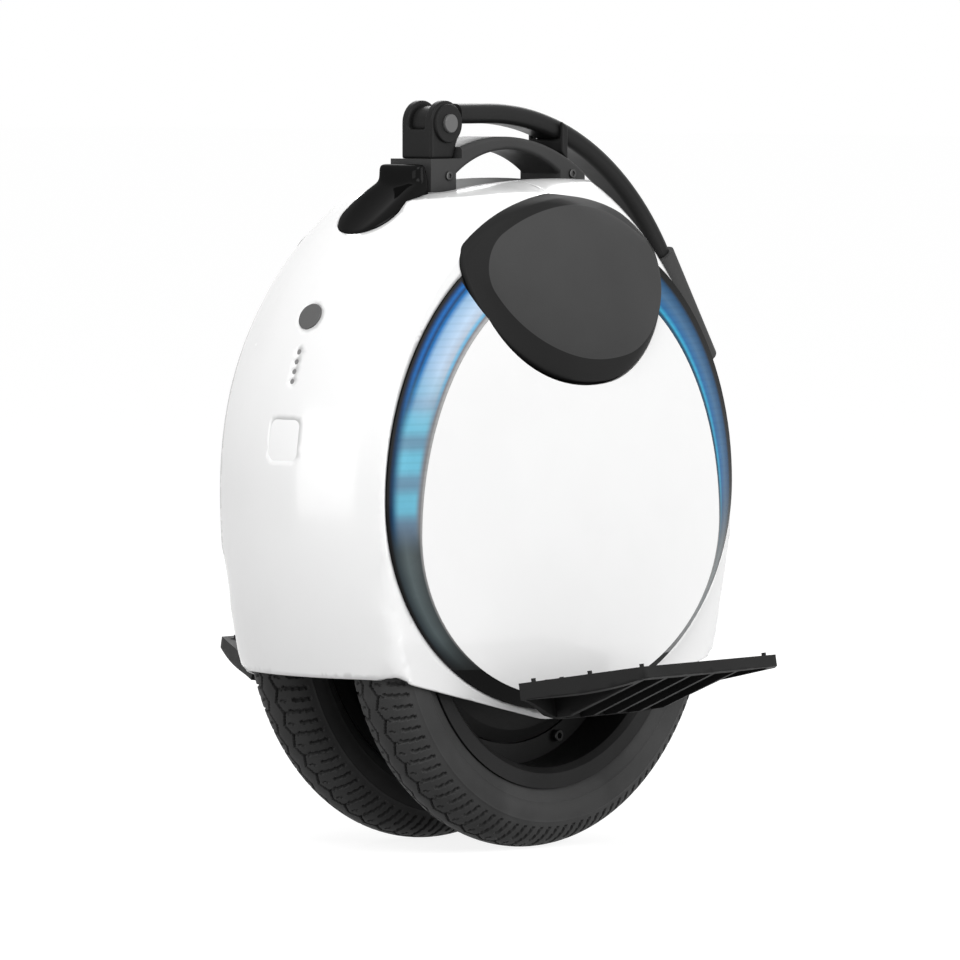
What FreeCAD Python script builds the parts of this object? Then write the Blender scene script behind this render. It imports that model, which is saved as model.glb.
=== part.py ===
import FreeCAD, Part
import math
import os
from collections import namedtuple
from types import SimpleNamespace

import Sketcher
from FreeCAD import Matrix, Placement, Rotation, Vector

# A self-balancing electric unicycle on two tyres that share one hub motor.
# Millimetres. +X is forward, +Y the rider's left, +Z up, with z = 0 on the ground.
# The origin lies under the middle of the whole length, so the axle stands forward of it.

# Driving dimensions, by sub-assembly

SIZES = {
    "Overall": {
        "axle_x": 20.0,
        "fit_gap": 0.3,
        "running_fit": 0.05,
        "overrun": 5.0,
    },
    "Wheel": {
        "tyre_radius": 178.0,
        "tyre_height": 42.0,
        "tyre_track": 95.0,
        "tyre_width": 52.0,
        "tyre_wall": 4.5,
        "bead_width": 6.5,
        "bead_rise": 2.5,
        "rim_flange_height": 5.5,
        "rim_flange_wall": 3.5,
        "rim_flange_depth": 10.0,
        "rim_channel_depth": 5.5,
        "rim_channel_width": 18.0,
        "rim_width": 45.0,
        "rim_wall": 3.5,
        "rim_lip": 4.0,
        "web_gap": 1.0,
        "web_wall": 4.0,
        "web_inset": 3.0,
        "valve_radius": 3.0,
        "valve_length": 20.0,
        "bolt_offset": 6.5,
        "bolt_head_radius": 4.2,
        "bolt_head_height": 5.0,
    },
    "Motor": {
        "drum_gap": 15.5,
        "drum_wall": 14.0,
        "drum_flange_width": 12.0,
        "drum_flange_wall": 4.0,
        "magnet_wall": 4.0,
        "magnet_width": 40.0,
        "air_gap": 1.0,
        "cover_depth": 20.0,
        "cover_wall": 3.5,
        "cover_rim": 9.0,
        "cover_boss_wall": 7.0,
        "cover_lip": 2.0,
        "bearing_radius": 21.0,
        "bearing_width": 12.0,
        "axle_radius": 10.0,
        "axle_core_radius": 12.5,
        "spacer_wall": 4.0,
        "nut_radius": 17.0,
        "nut_height": 7.0,
    },
    "Shell": {
        "side_gap": 1.0,
        "shell_wall": 2.5,
        "crown_overhang": 26.0,
        "crown_lift": 75.0,
        "crown_cap": 18.0,
        "crown_foot": 60.0,
        "deck_height": 114.0,
        "deck_sink": 3.0,
        "deck_crest": 35.0,
        "deck_radius": 700.0,
        "lip_drop": 50.0,
        "lip_inset": 32.0,
        "lip_dip": 36.0,
        "lip_flat": 20.0,
        "lip_round": 60.0,
        "liner_gap": 6.0,
        "liner_wall": 2.0,
    },
    "Side": {
        "egg_margin": 2.0,
        "egg_drop_from_crown": 3.0,
        "egg_below_deck": 33.0,
        "egg_below_axle": 80.0,
        "ring_side_width": 25.0,
        "ring_top_width": 33.0,
        "ring_foot_width": 9.0,
        "ring_shift": 24.0,
        "ring_height": 11.0,
        "ring_edge": 1.5,
        "lens_wall": 3.0,
        "trim_wall": 1.6,
        "trim_drop": 46.0,
        "led_inset": 12.0,
        "led_width": 8.0,
        "led_wall": 1.0,
        "panel_wall": 2.5,
        "post_radius": 4.0,
        "post_reach": 88.0,
        "post_rise": 40.0,
    },
    "Knee pad": {
        "pad_base_rear_radius": 64.5,
        "pad_base_tip_radius": 18.0,
        "pad_base_rear_offset": 28.0,
        "pad_base_length": 122.0,
        "pad_base_tip_lift": 25.5,
        "pad_base_below_deck": 80.5,
        "pad_base_upper_radius": 175.0,
        "pad_base_lower_radius": 140.0,
        "pad_edge_rear_radius": 62.0,
        "pad_edge_tip_radius": 14.0,
        "pad_edge_rear_offset": 30.0,
        "pad_edge_length": 118.0,
        "pad_edge_tip_lift": 21.5,
        "pad_edge_below_deck": 81.5,
        "pad_edge_upper_radius": 150.0,
        "pad_edge_lower_radius": 138.0,
        "pad_face_rear_radius": 53.5,
        "pad_face_tip_radius": 14.0,
        "pad_face_rear_offset": 34.0,
        "pad_face_length": 116.0,
        "pad_face_tip_lift": 16.0,
        "pad_face_below_deck": 72.0,
        "pad_face_upper_radius": 200.0,
        "pad_face_lower_radius": 130.0,
        "pad_height": 17.0,
        "pad_crown": 1.0,
        "pad_sink": 10.0,
    },
    "Handles": {
        "handle_step": 40.0,
        "handle_leg": 26.0,
        "handle_width": 38.0,
        "handle_plinth": 12.0,
        "handle_shoulder": 20.0,
        "handle_tail": 1.5,
        "handle_outer_radius": 155.0,
        "handle_inner_radius": 95.0,
        "handle_round": 3.0,
        "handle_screw_radius": 3.2,
        "handle_screw_height": 1.5,
        "handle_screw_front": 54.0,
        "handle_screw_rear": 76.0,
        "well_depth": 18.0,
        "well_wall": 2.5,
        "well_half_width": 32.0,
        "well_front": 74.8,
        "well_rear": 92.8,
        "well_corner": 12.0,
        "hinge_x": 50.3,
        "hinge_rise": 36.4,
        "hinge_stop": 4.0,
        "ear_radius": 16.0,
        "ear_wall": 7.0,
        "ear_foot": 6.3,
        "ear_round": 1.2,
        "knuckle_width": 14.0,
        "knuckle_radius": 12.0,
        "hinge_pin_radius": 4.0,
        "cap_inset": 2.5,
        "cap_height": 2.5,
        "cap_round": 1.0,
        "release_radius": 6.5,
        "release_depth": 5.0,
        "release_proud": 2.3,
        "release_travel": 1.8,
        "release_round": 0.8,
        "tube_width": 26.0,
        "tube_height": 14.0,
        "tube_corner": 6.0,
        "tube_lift": 6.6,
        "tube_run": 50.3,
        "tube_start": 16.8,
        "tube_bend_radius": 220.6,
        "tube_bend_angle": 57.7,
        "grip_length": 92.0,
        "grip_width": 32.0,
        "grip_height": 20.0,
        "grip_corner": 8.0,
        "grip_end_wall": 4.0,
        "grip_round": 3.0,
        "clip_x": 72.0,
        "clip_length": 13.0,
        "clip_wall": 3.0,
        "clip_grip": 4.0,
    },
    "Scoop": {
        "scoop_setback": 30.2,
        "scoop_upper": 35.0,
        "scoop_lower": 11.0,
        "scoop_upper_width": 40.0,
        "scoop_lower_width": 52.0,
        "scoop_proud": 1.0,
        "scoop_wall": 4.5,
        "scoop_hollow_radius": 45.0,
        "scoop_hollow_depth": 3.0,
        "collar_length": 11.0,
        "collar_rise": 11.0,
        "collar_drop": 10.0,
        "collar_width": 40.0,
        "collar_round": 5.0,
    },
    "Lights and controls": {
        "button_drop": 95.0,
        "button_radius": 9.6,
        "button_proud": 0.8,
        "button_depth": 5.0,
        "button_round": 0.6,
        "switch_wall": 3.5,
        "switch_depth": 14.0,
        "gauge_drop": 119.0,
        "gauge_pitch": 6.7,
        "gauge_radius": 1.8,
        "gauge_length": 7.0,
        "headlight_drop": 179.0,
        "headlight_width": 26.0,
        "headlight_tall": 28.0,
        "tail_light_drop": 255.0,
        "tail_light_width": 48.0,
        "tail_light_tall": 18.0,
        "lamp_corner": 5.0,
        "lamp_depth": 9.0,
        "lamp_board_wall": 1.6,
        "charge_drop": 170.0,
        "charge_bore_radius": 8.0,
        "charge_body_radius": 11.0,
        "charge_bezel_radius": 16.0,
        "charge_proud": 3.0,
        "charge_depth": 20.0,
        "charge_floor": 4.0,
        "charge_recess_radius": 6.5,
        "charge_recess_depth": 8.0,
        "charge_pin_radius": 1.2,
        "charge_pin_circle": 4.0,
        "charge_pin_length": 7.5,
        "cap_radius": 12.5,
        "cap_wall": 2.5,
        "cap_tab_width": 10.0,
        "cap_hinge_radius": 1.4,
    },
    "Inside": {
        "battery_wall": 42.0,
        "battery_start_angle": 42.0,
        "battery_end_angle": 80.0,
        "battery_width": 124.0,
        "sink_length": 52.0,
        "sink_width": 100.0,
        "sink_height": 28.0,
        "sink_base": 12.0,
        "fin_wall": 3.0,
        "fin_pitch": 9.0,
        "board_wall": 1.6,
    },
    "Footrests": {
        "hanger_wall": 12.0,
        "hanger_half_width": 36.0,
        "hanger_drop": 65.0,
        "lug_radius": 7.5,
        "lug_half_width": 30.0,
        "lug_root": 57.0,
        "pedal_offset": 9.0,
        "pedal_pin_radius": 4.0,
        "pedal_ear_radius": 8.0,
        "pedal_ear_wall": 14.0,
        "pedal_tilt": 10.0,
        "pedal_half_length": 100.0,
        "pedal_neck_half": 60.0,
        "pedal_start": 13.0,
        "pedal_reach": 105.0,
        "pedal_front_shoulder": 17.0,
        "pedal_rear_shoulder": 34.0,
        "pedal_sweep": 45.0,
        "pedal_corner": 14.0,
        "pedal_tread_lift": 6.5,
        "pedal_wall": 3.5,
        "pedal_skirt": 8.0,
        "pedal_skirt_wall": 5.0,
        "pedal_depth": 20.0,
        "pedal_root": 16.0,
        "pedal_rib_wall": 4.0,
        "stud_radius": 1.6,
        "stud_height": 2.3,
        "hanger_screw_radius": 5.0,
        "hanger_screw_height": 4.0,
        "hanger_screw_reach": 26.0,
        "hanger_screw_rise": 18.0,
        "hanger_screw_fall": 36.0,
    },
}

# The crown's half width at the side planes, as a share of the whole ellipsoid's half width
CROWN_CUT_SHARE = 0.4326
# A stator slot's depth and width as shares of the stator's radius
SLOT_DEPTH_SHARE = 0.299
SLOT_WIDTH_SHARE = 0.0805
# The knee pad's domed middle, as a share of its face outline
PAD_CROWN_SHARE = 0.7
# How far round below the hinge a bracket ear stays circular, along each axis, as a share of its radius
EAR_SLANT_SHARE = math.sqrt(0.5)
# Where the studs stand on a footrest, as shares of its half length and of its reach
STUD_SHARES = (
    (0.93, 0.36), (0.70, 0.66), (0.48, 0.93), (-0.82, 0.93), (-0.92, 0.50), (0.45, 0.20), (-0.45, 0.20),
)
# The box that cuts the unit ball is longer than the ball, as a share of its radius
BALL_BOX_SHARE = 4.0
MOTOR_BOLTS_PER_SIDE = 8
STATOR_SLOTS = 24
PEDAL_RIBS = 5
CHARGE_PINS = 3
GAUGE_LIGHT_COUNT = 4
SINK_GROOVE_COUNT = 5
NUT_SIDE_COUNT = 6


class Size:
    """A named size, or a sum of named sizes, with its number and its spreadsheet expression."""

    def __init__(self, value, text):
        self.value = value
        self.text = text

    def __float__(self):
        return float(self.value)

    def __add__(self, other):
        other = as_size(other)
        return Size(self.value + other.value, f"({self.text} + {other.text})")

    def __sub__(self, other):
        other = as_size(other)
        return Size(self.value - other.value, f"({self.text} - {other.text})")

    def __mul__(self, other):
        other = as_size(other)
        return Size(self.value * other.value, f"({self.text} * {other.text})")

    def __truediv__(self, other):
        other = as_size(other)
        return Size(self.value / other.value, f"({self.text} / {other.text})")

    def __neg__(self):
        return Size(-self.value, f"(0 - {self.text})")

    def __radd__(self, other):
        return as_size(other) + self

    def __rsub__(self, other):
        return as_size(other) - self

    def __rmul__(self, other):
        return as_size(other) * self


def as_size(value):
    return value if isinstance(value, Size) else Size(value, repr(float(value)))


def root(size):
    return Size(math.sqrt(size.value), f"sqrt({size.text})")


Disc = namedtuple("Disc", "x y radius")

PIECES = []

doc = FreeCAD.newDocument("electric_unicycle")
sheet = doc.addObject("Spreadsheet::Sheet", "Sizes")


def fill_sheet():
    """Write every driving dimension to the sheet and return them as named sizes."""
    row = 1
    names = []
    for group, sizes in SIZES.items():
        sheet.set(f"A{row}", group)
        row += 1
        for name, value in sizes.items():
            sheet.set(f"A{row}", name)
            sheet.set(f"B{row}", str(value))
            sheet.setAlias(f"B{row}", name)
            names.append(name)
            row += 1
    doc.recompute()
    return SimpleNamespace(**{name: Size(float(sheet.get(name)), f"Sizes.{name}") for name in names})


dim = fill_sheet()
LEFT, RIGHT = 1, -1
SIDES = (("left", LEFT), ("right", RIGHT))

# Sizes that follow from the driving ones

axle_height = dim.tyre_radius
rim_flange_radius = dim.tyre_radius - dim.tyre_height
rim_seat_radius = rim_flange_radius - dim.rim_flange_height
rim_channel_radius = rim_seat_radius - dim.rim_channel_depth
rim_barrel_radius = rim_channel_radius - dim.rim_wall
drum_radius = rim_barrel_radius - dim.drum_gap
web_radius = drum_radius + dim.web_gap
rim_half = dim.rim_width / 2
drum_half = dim.tyre_track / 2 - rim_half + dim.web_inset
bearing_face = drum_half + dim.cover_depth
side_inner = dim.tyre_track / 2 + dim.tyre_width / 2 + dim.side_gap
side_face = side_inner + dim.shell_wall
panel_face = side_face + dim.ring_height
hanger_inner = side_inner - dim.hanger_wall
deck = 2 * dim.tyre_radius + dim.deck_height
crown_centre = axle_height + dim.crown_lift
crown_rise = deck + dim.crown_cap - crown_centre
crown_drop = crown_centre + dim.crown_foot
crown_length = dim.tyre_radius + dim.crown_overhang
crown_width = side_face / CROWN_CUT_SHARE
liner_radius = dim.tyre_radius + dim.liner_gap + dim.liner_wall
hinge_height = deck + dim.hinge_rise
pedal_axis_y = panel_face + dim.pedal_offset
pedal_axis_height = axle_height - dim.hanger_drop
egg_half_width = float(crown_length) * math.sqrt(1 - CROWN_CUT_SHARE**2) - float(dim.egg_margin)
egg_centre = crown_centre - dim.egg_drop_from_crown
egg_rise = deck - dim.egg_below_deck - egg_centre
egg_drop = egg_centre - axle_height + dim.egg_below_axle
trim_height = axle_height - dim.trim_drop
lip_height = axle_height - dim.lip_drop
button_height = deck - dim.button_drop
gauge_height = deck - dim.gauge_drop
headlight_height = deck - dim.headlight_drop
tail_light_height = deck - dim.tail_light_drop
charge_height = deck - dim.charge_drop
handle_front = dim.well_front - dim.well_wall - dim.fit_gap
handle_rear = dim.well_rear - dim.well_wall - dim.fit_gap
scoop_x = dim.well_front + dim.scoop_setback
reach = 3 * float(crown_length)


def bind(target, path, size):
    """Tie a property to the sheet."""
    target.setExpression(path, as_size(size).text)


def place(target, x=0, y=0, z=0, rotation=None):
    """Give a sub-part its place in the vehicle's frame, tied to the sheet."""
    spot = Vector(float(x), float(y), float(z))
    target.Placement = Placement(spot, rotation or Rotation())
    for path, size in (("x", x), ("y", y), ("z", z)):
        if isinstance(size, Size):
            bind(target, f"Placement.Base.{path}", size)


def arc_between(start, end, radius):
    """The short arc from start to end; a positive radius turns left."""
    chord = end - start
    middle = (start + end) * 0.5
    rise = math.sqrt(max(radius**2 - (chord.Length / 2) ** 2, 0))
    normal = Vector(-chord.y, chord.x, 0).normalize()
    centre = middle + normal * math.copysign(rise, radius)
    first, last = (start, end) if radius > 0 else (end, start)
    angles = [math.atan2(p.y - centre.y, p.x - centre.x) for p in (first, last)]
    circle = Part.Circle(centre, Vector(0, 0, 1), abs(radius))
    return Part.ArcOfCircle(circle, angles[0], angles[1])


def draw(sketch, loops, closed=True):
    """Draw outlines of lines and arcs, or discs, with every size tied to the sheet.

    A corner is (x, y), or (x, y, radius) where an arc of that radius leads to it.
    """
    for loop in loops:
        if isinstance(loop, Disc):
            draw_disc(sketch, loop)
        else:
            draw_outline(sketch, loop, closed)


def fix(sketch, kind, *place_and_size):
    *where, size = place_and_size
    index = sketch.addConstraint(Sketcher.Constraint(kind, *where, float(size)))
    bind(sketch, f"Constraints[{index}]", size)


def draw_disc(sketch, disc):
    centre = Vector(float(disc.x), float(disc.y), 0)
    index = sketch.addGeometry(Part.Circle(centre, Vector(0, 0, 1), float(disc.radius)))
    fix(sketch, "Radius", index, disc.radius)
    fix(sketch, "DistanceX", index, 3, disc.x)
    fix(sketch, "DistanceY", index, 3, disc.y)


def draw_outline(sketch, corners, closed):
    points = [Vector(float(c[0]), float(c[1]), 0) for c in corners]
    ends = []
    for index in range(0 if closed else 1, len(corners)):
        corner = corners[index]
        start, end = points[index - 1], points[index]
        if len(corner) == 3:
            radius = float(corner[2])
            edge = sketch.addGeometry(arc_between(start, end, radius))
            fix(sketch, "Radius", edge, abs_size(corner[2]))
            ends.append((edge, 1, 2) if radius > 0 else (edge, 2, 1))
        else:
            edge = sketch.addGeometry(Part.LineSegment(start, end))
            ends.append((edge, 1, 2))
    for index in range(0 if closed else 1, len(ends)):
        before, after = ends[index - 1], ends[index]
        sketch.addConstraint(Sketcher.Constraint("Coincident", before[0], before[2], after[0], after[1]))
    if not closed:
        fix(sketch, "DistanceX", ends[0][0], ends[0][1], corners[0][0])
        fix(sketch, "DistanceY", ends[0][0], ends[0][1], corners[0][1])
    for corner, end in zip(corners if closed else corners[1:], ends):
        fix(sketch, "DistanceX", end[0], end[2], corner[0])
        fix(sketch, "DistanceY", end[0], end[2], corner[1])


def abs_size(size):
    return size if float(size) > 0 else -as_size(size)


def rounded_rectangle(width, height, corner):
    """Corners of a rectangle about the origin, counter-clockwise, with round corners."""
    x, y = width / 2, height / 2
    return [
        (corner - x, -y),
        (x - corner, -y),
        (x, corner - y, corner),
        (x, y - corner),
        (x - corner, y, corner),
        (corner - x, y),
        (-x, y - corner, corner),
        (-x, corner - y),
        (corner - x, -y, corner),
    ][1:]


class Piece:
    """One sub-part made of sketched features, with its own label and place."""

    def __init__(self, label, x=dim.axle_x, y=0, z=0, rotation=None):
        self.body = doc.addObject("PartDesign::Body", label)
        self.body.Label = label
        PIECES.append(self.body)
        place(self.body, x, y, z, rotation)

    def datum(self, role):
        return next(f for f in self.body.Origin.OriginFeatures if f.Role == role)

    def sketch(self, plane, loops, offset=0, closed=True):
        sketch = self.body.newObject("Sketcher::SketchObject", "outline")
        sketch.AttachmentSupport = [(self.datum(f"{plane}_Plane"), "")]
        sketch.MapMode = "FlatFace"
        bind(sketch, "AttachmentOffset.Base.z", offset)
        draw(sketch, loops, closed)
        return sketch

    def feature(self, kind, sketch):
        feature = self.body.newObject(f"PartDesign::{kind}", kind.lower())
        feature.Profile = sketch
        return feature

    def pad(self, plane, low, high, *loops):
        """Material between two levels along the plane's vehicle axis."""
        offset = -as_size(high) if plane == "XZ" else low
        pad = self.feature("Pad", self.sketch(plane, loops, offset))
        bind(pad, "Length", as_size(high) - low)
        return pad

    def pocket(self, plane, low, high, *loops):
        """A cut between two levels along the plane's vehicle axis."""
        doc.recompute()
        before = self.body.Shape.Volume
        offset = -as_size(low) if plane == "XZ" else high
        pocket = self.feature("Pocket", self.sketch(plane, loops, offset))
        bind(pocket, "Length", as_size(high) - low)
        doc.recompute()
        if self.body.Shape.Volume >= before:
            raise RuntimeError(f"{self.body.Label}: a pocket cut nothing")
        return pocket

    def revolve(self, *loops):
        """Material turned about the axle line, drawn as radius and place along Y."""
        turned = self.feature("Revolution", self.sketch("XY", loops))
        turned.ReferenceAxis = (turned.Profile[0], ["V_Axis"])
        return turned

    def around(self, feature, role, count):
        pattern = self.body.newObject("PartDesign::PolarPattern", "around")
        pattern.Originals = [feature]
        pattern.Axis = (self.datum(role), [""])
        pattern.Occurrences = count
        self.body.Tip = pattern
        return pattern

    def along(self, feature, role, length, count):
        pattern = self.body.newObject("PartDesign::LinearPattern", "along")
        pattern.Originals = [feature]
        pattern.Direction = (self.datum(role), [""])
        bind(pattern, "Length", length)
        pattern.Occurrences = count
        self.body.Tip = pattern
        return pattern

    def dress(self, kind, size_name, size, wanted):
        """A fillet or chamfer on the edges that the test picks."""
        doc.recompute()
        base = self.body.Tip
        edges = [f"Edge{i}" for i, e in enumerate(base.Shape.Edges, 1) if wanted(e)]
        feature = self.body.newObject(f"PartDesign::{kind}", kind.lower())
        feature.Base = (base, edges)
        bind(feature, size_name, size)
        return feature

    def pipe(self, path, section, start):
        """A tube of one section along a path in the XZ plane."""
        spine = self.sketch("XZ", [path], closed=False)
        profile = self.sketch("YZ", [section], start)
        pipe = self.feature("AdditivePipe", profile)
        pipe.Spine = (spine, [f"Edge{i}" for i in range(1, len(path))])
        return pipe


def sculpted(label, shape):
    """A sub-part whose crowned surfaces no sketch gives, in the vehicle's frame."""
    piece = doc.addObject("Part::Feature", label)
    piece.Label = label
    piece.Shape = shape.Solids[0] if len(shape.Solids) == 1 else shape
    place(piece, x=dim.axle_x)
    PIECES.append(piece)


def cylinder(radius, height, x, y, z, rotation=None):
    """A plain round piece of a group; it stands along Z unless turned."""
    piece = doc.addObject("Part::Cylinder", "round")
    bind(piece, "Radius", radius)
    bind(piece, "Height", height)
    place(piece, x, y, z, rotation)
    return piece


def ring(outer, inner, height, x, y, z, rotation=None):
    """A round piece of a group with a bore."""
    cut = doc.addObject("Part::Cut", "ring")
    cut.Base = cylinder(outer, height, x, y, z, rotation)
    cut.Tool = cylinder(inner, height, x, y, z, rotation)
    return cut


def group(label, members):
    """Identical pieces that share one node."""
    compound = doc.addObject("Part::Compound", label)
    compound.Label = label
    compound.Links = members
    PIECES.append(compound)


ALONG_Y = Rotation(Vector(1, 0, 0), -90)
ALONG_BACK = Rotation(Vector(0, 1, 0), -90)
HALF_TURN = Rotation(Vector(0, 0, 1), 180)


def turned(side):
    return Rotation() if side == LEFT else HALF_TURN


def outward(side, low, height):
    """Where a round piece that grows along +Y starts, for a height measured outwards."""
    return low if side == LEFT else -(as_size(low) + height)


# Wheel


def make_tyres():
    section = dim.tyre_width / 2
    cavity = section - dim.tyre_wall
    middle = dim.tyre_radius - section
    foot = rim_flange_radius + dim.fit_gap
    inner_foot = foot + dim.bead_rise
    outer_y = root(section * section - (middle - foot) * (middle - foot))
    inner_y = root(cavity * cavity - (middle - inner_foot) * (middle - inner_foot))
    seat_y = rim_half - dim.rim_flange_wall
    toe_y = seat_y - dim.bead_width
    crown = middle + cavity
    for name, side in SIDES:
        tyre = Piece(f"{name}_tyre", y=side * dim.tyre_track / 2, z=axle_height, rotation=turned(side))
        tyre.revolve([
            (foot, -outer_y),
            (dim.tyre_radius, 0, section),
            (foot, outer_y, section),
            (foot, seat_y),
            (rim_seat_radius, seat_y),
            (rim_seat_radius, toe_y),
            (inner_foot, inner_y),
            (crown, 0, -cavity),
            (inner_foot, -inner_y, -cavity),
            (rim_seat_radius, -toe_y),
            (rim_seat_radius, -seat_y),
            (foot, -seat_y),
        ])


def make_rims():
    flange_foot = rim_flange_radius - dim.rim_flange_depth
    seat_y = rim_half - dim.rim_flange_wall
    channel_y = dim.rim_channel_width / 2
    toe_y = seat_y - dim.bead_width
    web_y = dim.web_inset - rim_half
    for name, side in SIDES:
        rim = Piece(f"{name}_rim", y=side * dim.tyre_track / 2, z=axle_height, rotation=turned(side))
        rim.revolve([
            (web_radius, web_y),
            (flange_foot, web_y),
            (flange_foot, -rim_half),
            (rim_flange_radius, -rim_half),
            (rim_flange_radius, -seat_y),
            (rim_seat_radius, -seat_y),
            (rim_seat_radius, -toe_y),
            (rim_channel_radius, -channel_y),
            (rim_channel_radius, channel_y),
            (rim_seat_radius, toe_y),
            (rim_seat_radius, seat_y),
            (rim_flange_radius, seat_y),
            (rim_flange_radius, rim_half),
            (rim_barrel_radius + dim.rim_lip, rim_half),
            (rim_barrel_radius, rim_half - dim.rim_lip),
            (rim_barrel_radius, web_y + dim.web_wall),
            (web_radius, web_y + dim.web_wall),
        ])


def make_motor():
    inner = drum_radius - dim.drum_wall
    flange = drum_radius + dim.drum_flange_width
    flange_y = drum_half - dim.drum_flange_wall
    drum = Piece("motor_drum", z=axle_height)
    drum.revolve([
        (inner, -drum_half),
        (flange, -drum_half),
        (flange, -flange_y),
        (drum_radius, -flange_y),
        (drum_radius, flange_y),
        (flange, flange_y),
        (flange, drum_half),
        (inner, drum_half),
    ])
    magnets = Piece("magnet_ring", z=axle_height)
    half = dim.magnet_width / 2
    magnet_inner = inner - dim.magnet_wall
    magnets.revolve([(magnet_inner, -half), (inner, -half), (inner, half), (magnet_inner, half)])
    stator_radius = magnet_inner - dim.air_gap
    bore = dim.axle_core_radius
    stator = Piece("stator", z=axle_height)
    stator.revolve([(bore, -half), (stator_radius, -half), (stator_radius, half), (bore, half)])
    slot_root = stator_radius - stator_radius * SLOT_DEPTH_SHARE
    slot_mouth = stator_radius + dim.overrun
    slot_half = stator_radius * SLOT_WIDTH_SHARE / 2
    slot = stator.pocket("XZ", -half - dim.overrun, half + dim.overrun, [
        (slot_root, -slot_half),
        (slot_mouth, -slot_half),
        (slot_mouth, slot_half),
        (slot_root, slot_half),
    ])
    stator.around(slot, "Y_Axis", STATOR_SLOTS)


def make_motor_covers():
    bearing_inner = bearing_face - dim.bearing_width
    boss = dim.bearing_radius + dim.cover_boss_wall
    shoulder = drum_radius - dim.cover_rim
    lip_y = bearing_face + dim.cover_lip
    for name, side in SIDES:
        cover = Piece(f"{name}_motor_cover", z=axle_height, rotation=turned(side))
        cover.revolve([
            (shoulder, drum_half),
            (drum_radius, drum_half),
            (drum_radius, drum_half + dim.cover_wall),
            (shoulder, drum_half + 2 * dim.cover_wall),
            (boss + dim.cover_wall, bearing_face - dim.cover_wall),
            (boss, lip_y),
            (dim.bearing_radius - dim.cover_lip, lip_y),
            (dim.bearing_radius - dim.cover_lip, bearing_face),
            (dim.bearing_radius, bearing_face),
            (dim.bearing_radius, bearing_inner),
            (boss, bearing_inner),
            (boss + dim.cover_wall, bearing_face - 2 * dim.cover_wall),
            (shoulder, drum_half + dim.cover_wall),
        ])


def make_axle():
    end = side_face + dim.nut_height
    step = bearing_face - dim.bearing_width - dim.fit_gap
    axle = Piece("axle", z=axle_height)
    axle.revolve([
        (0, -end),
        (dim.axle_radius, -end),
        (dim.axle_radius, -step),
        (dim.axle_core_radius, -step),
        (dim.axle_core_radius, step),
        (dim.axle_radius, step),
        (dim.axle_radius, end),
        (0, end),
    ])
    bearings, spacers, nuts = [], [], []
    bore = dim.axle_radius + dim.running_fit
    spacer_low = bearing_face + dim.fit_gap
    for _, side in SIDES:
        low = outward(side, bearing_face - dim.bearing_width, dim.bearing_width)
        bearings.append(ring(dim.bearing_radius, bore, dim.bearing_width,
                             dim.axle_x, low, axle_height, ALONG_Y))
        length = hanger_inner - spacer_low
        low = outward(side, spacer_low, length)
        spacers.append(ring(dim.axle_radius + dim.spacer_wall, dim.axle_radius, length,
                            dim.axle_x, low, axle_height, ALONG_Y))
        nut = doc.addObject("Part::Prism", "nut")
        nut.Polygon = NUT_SIDE_COUNT
        bind(nut, "Circumradius", dim.nut_radius)
        bind(nut, "Height", dim.nut_height)
        low = outward(side, side_face, dim.nut_height)
        place(nut, dim.axle_x, low, axle_height, ALONG_Y)
        bored = doc.addObject("Part::Cut", "bored_nut")
        bored.Base = nut
        bored.Tool = cylinder(dim.axle_radius, dim.nut_height, dim.axle_x, low, axle_height, ALONG_Y)
        nuts.append(bored)
    group("bearings", bearings)
    group("axle_spacers", spacers)
    group("axle_nuts", nuts)


def make_wheel_fasteners():
    bolts, valves = [], []
    web_face = drum_half + dim.web_wall
    circle = drum_radius + dim.bolt_offset
    for _, side in SIDES:
        low = outward(side, web_face, dim.bolt_head_height)
        for step in range(MOTOR_BOLTS_PER_SIDE):
            angle = 2 * math.pi * (step + 0.5) / MOTOR_BOLTS_PER_SIDE
            x = dim.axle_x + circle * math.cos(angle)
            z = axle_height + circle * math.sin(angle)
            bolts.append(cylinder(dim.bolt_head_radius, dim.bolt_head_height, x, low, z, ALONG_Y))
        valves.append(cylinder(dim.valve_radius, dim.valve_length, dim.axle_x + rim_barrel_radius,
                               side * dim.tyre_track / 2, axle_height, ALONG_BACK))
    group("motor_bolts", bolts)
    group("valve_stems", valves)


# Crowned body


def slab(half_y, low, high):
    """A block across the vehicle, as wide as asked and longer than the body."""
    return Part.makeBox(2 * reach, 2 * half_y, high - low, Vector(-reach, -half_y, low))


def crowned_form(inset, half_y, low, high):
    """The body's crowned form, drawn in by the inset and cut to a half width and two heights.

    It is an ellipsoid with a taller lower half. Each half is cut while it is a true ball of radius
    one, then stretched.
    """
    ball = Part.makeSphere(1, Vector(), Vector(0, 1, 0))
    floor, roof = low - float(crown_centre), high - float(crown_centre)
    form = None
    for bottom, top, height in ((0, roof, crown_rise), (floor, 0, crown_drop)):
        scale = Vector(float(crown_length) - inset, float(crown_width) - inset, float(height) - inset)
        size = Vector(BALL_BOX_SHARE, 2 * half_y / scale.y, (top - bottom) / scale.z)
        cutter = Part.makeBox(size.x, size.y, size.z, Vector(-size.x / 2, -size.y / 2, bottom / scale.z))
        stretch = Matrix()
        stretch.scale(scale)
        half = ball.common(cutter).transformGeometry(stretch)
        form = half if form is None else form.fuse(half)
    form.translate(Vector(0, 0, float(crown_centre)))
    return form


def deck_dome(inset):
    """The shallow arch that trims the body's top, drawn in by the inset."""
    radius = float(dim.deck_radius)
    start = Vector(-float(dim.deck_crest), -reach, float(deck - dim.deck_sink) - radius)
    return Part.makeCylinder(radius - inset, 2 * reach, start, Vector(0, 1, 0))


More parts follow.
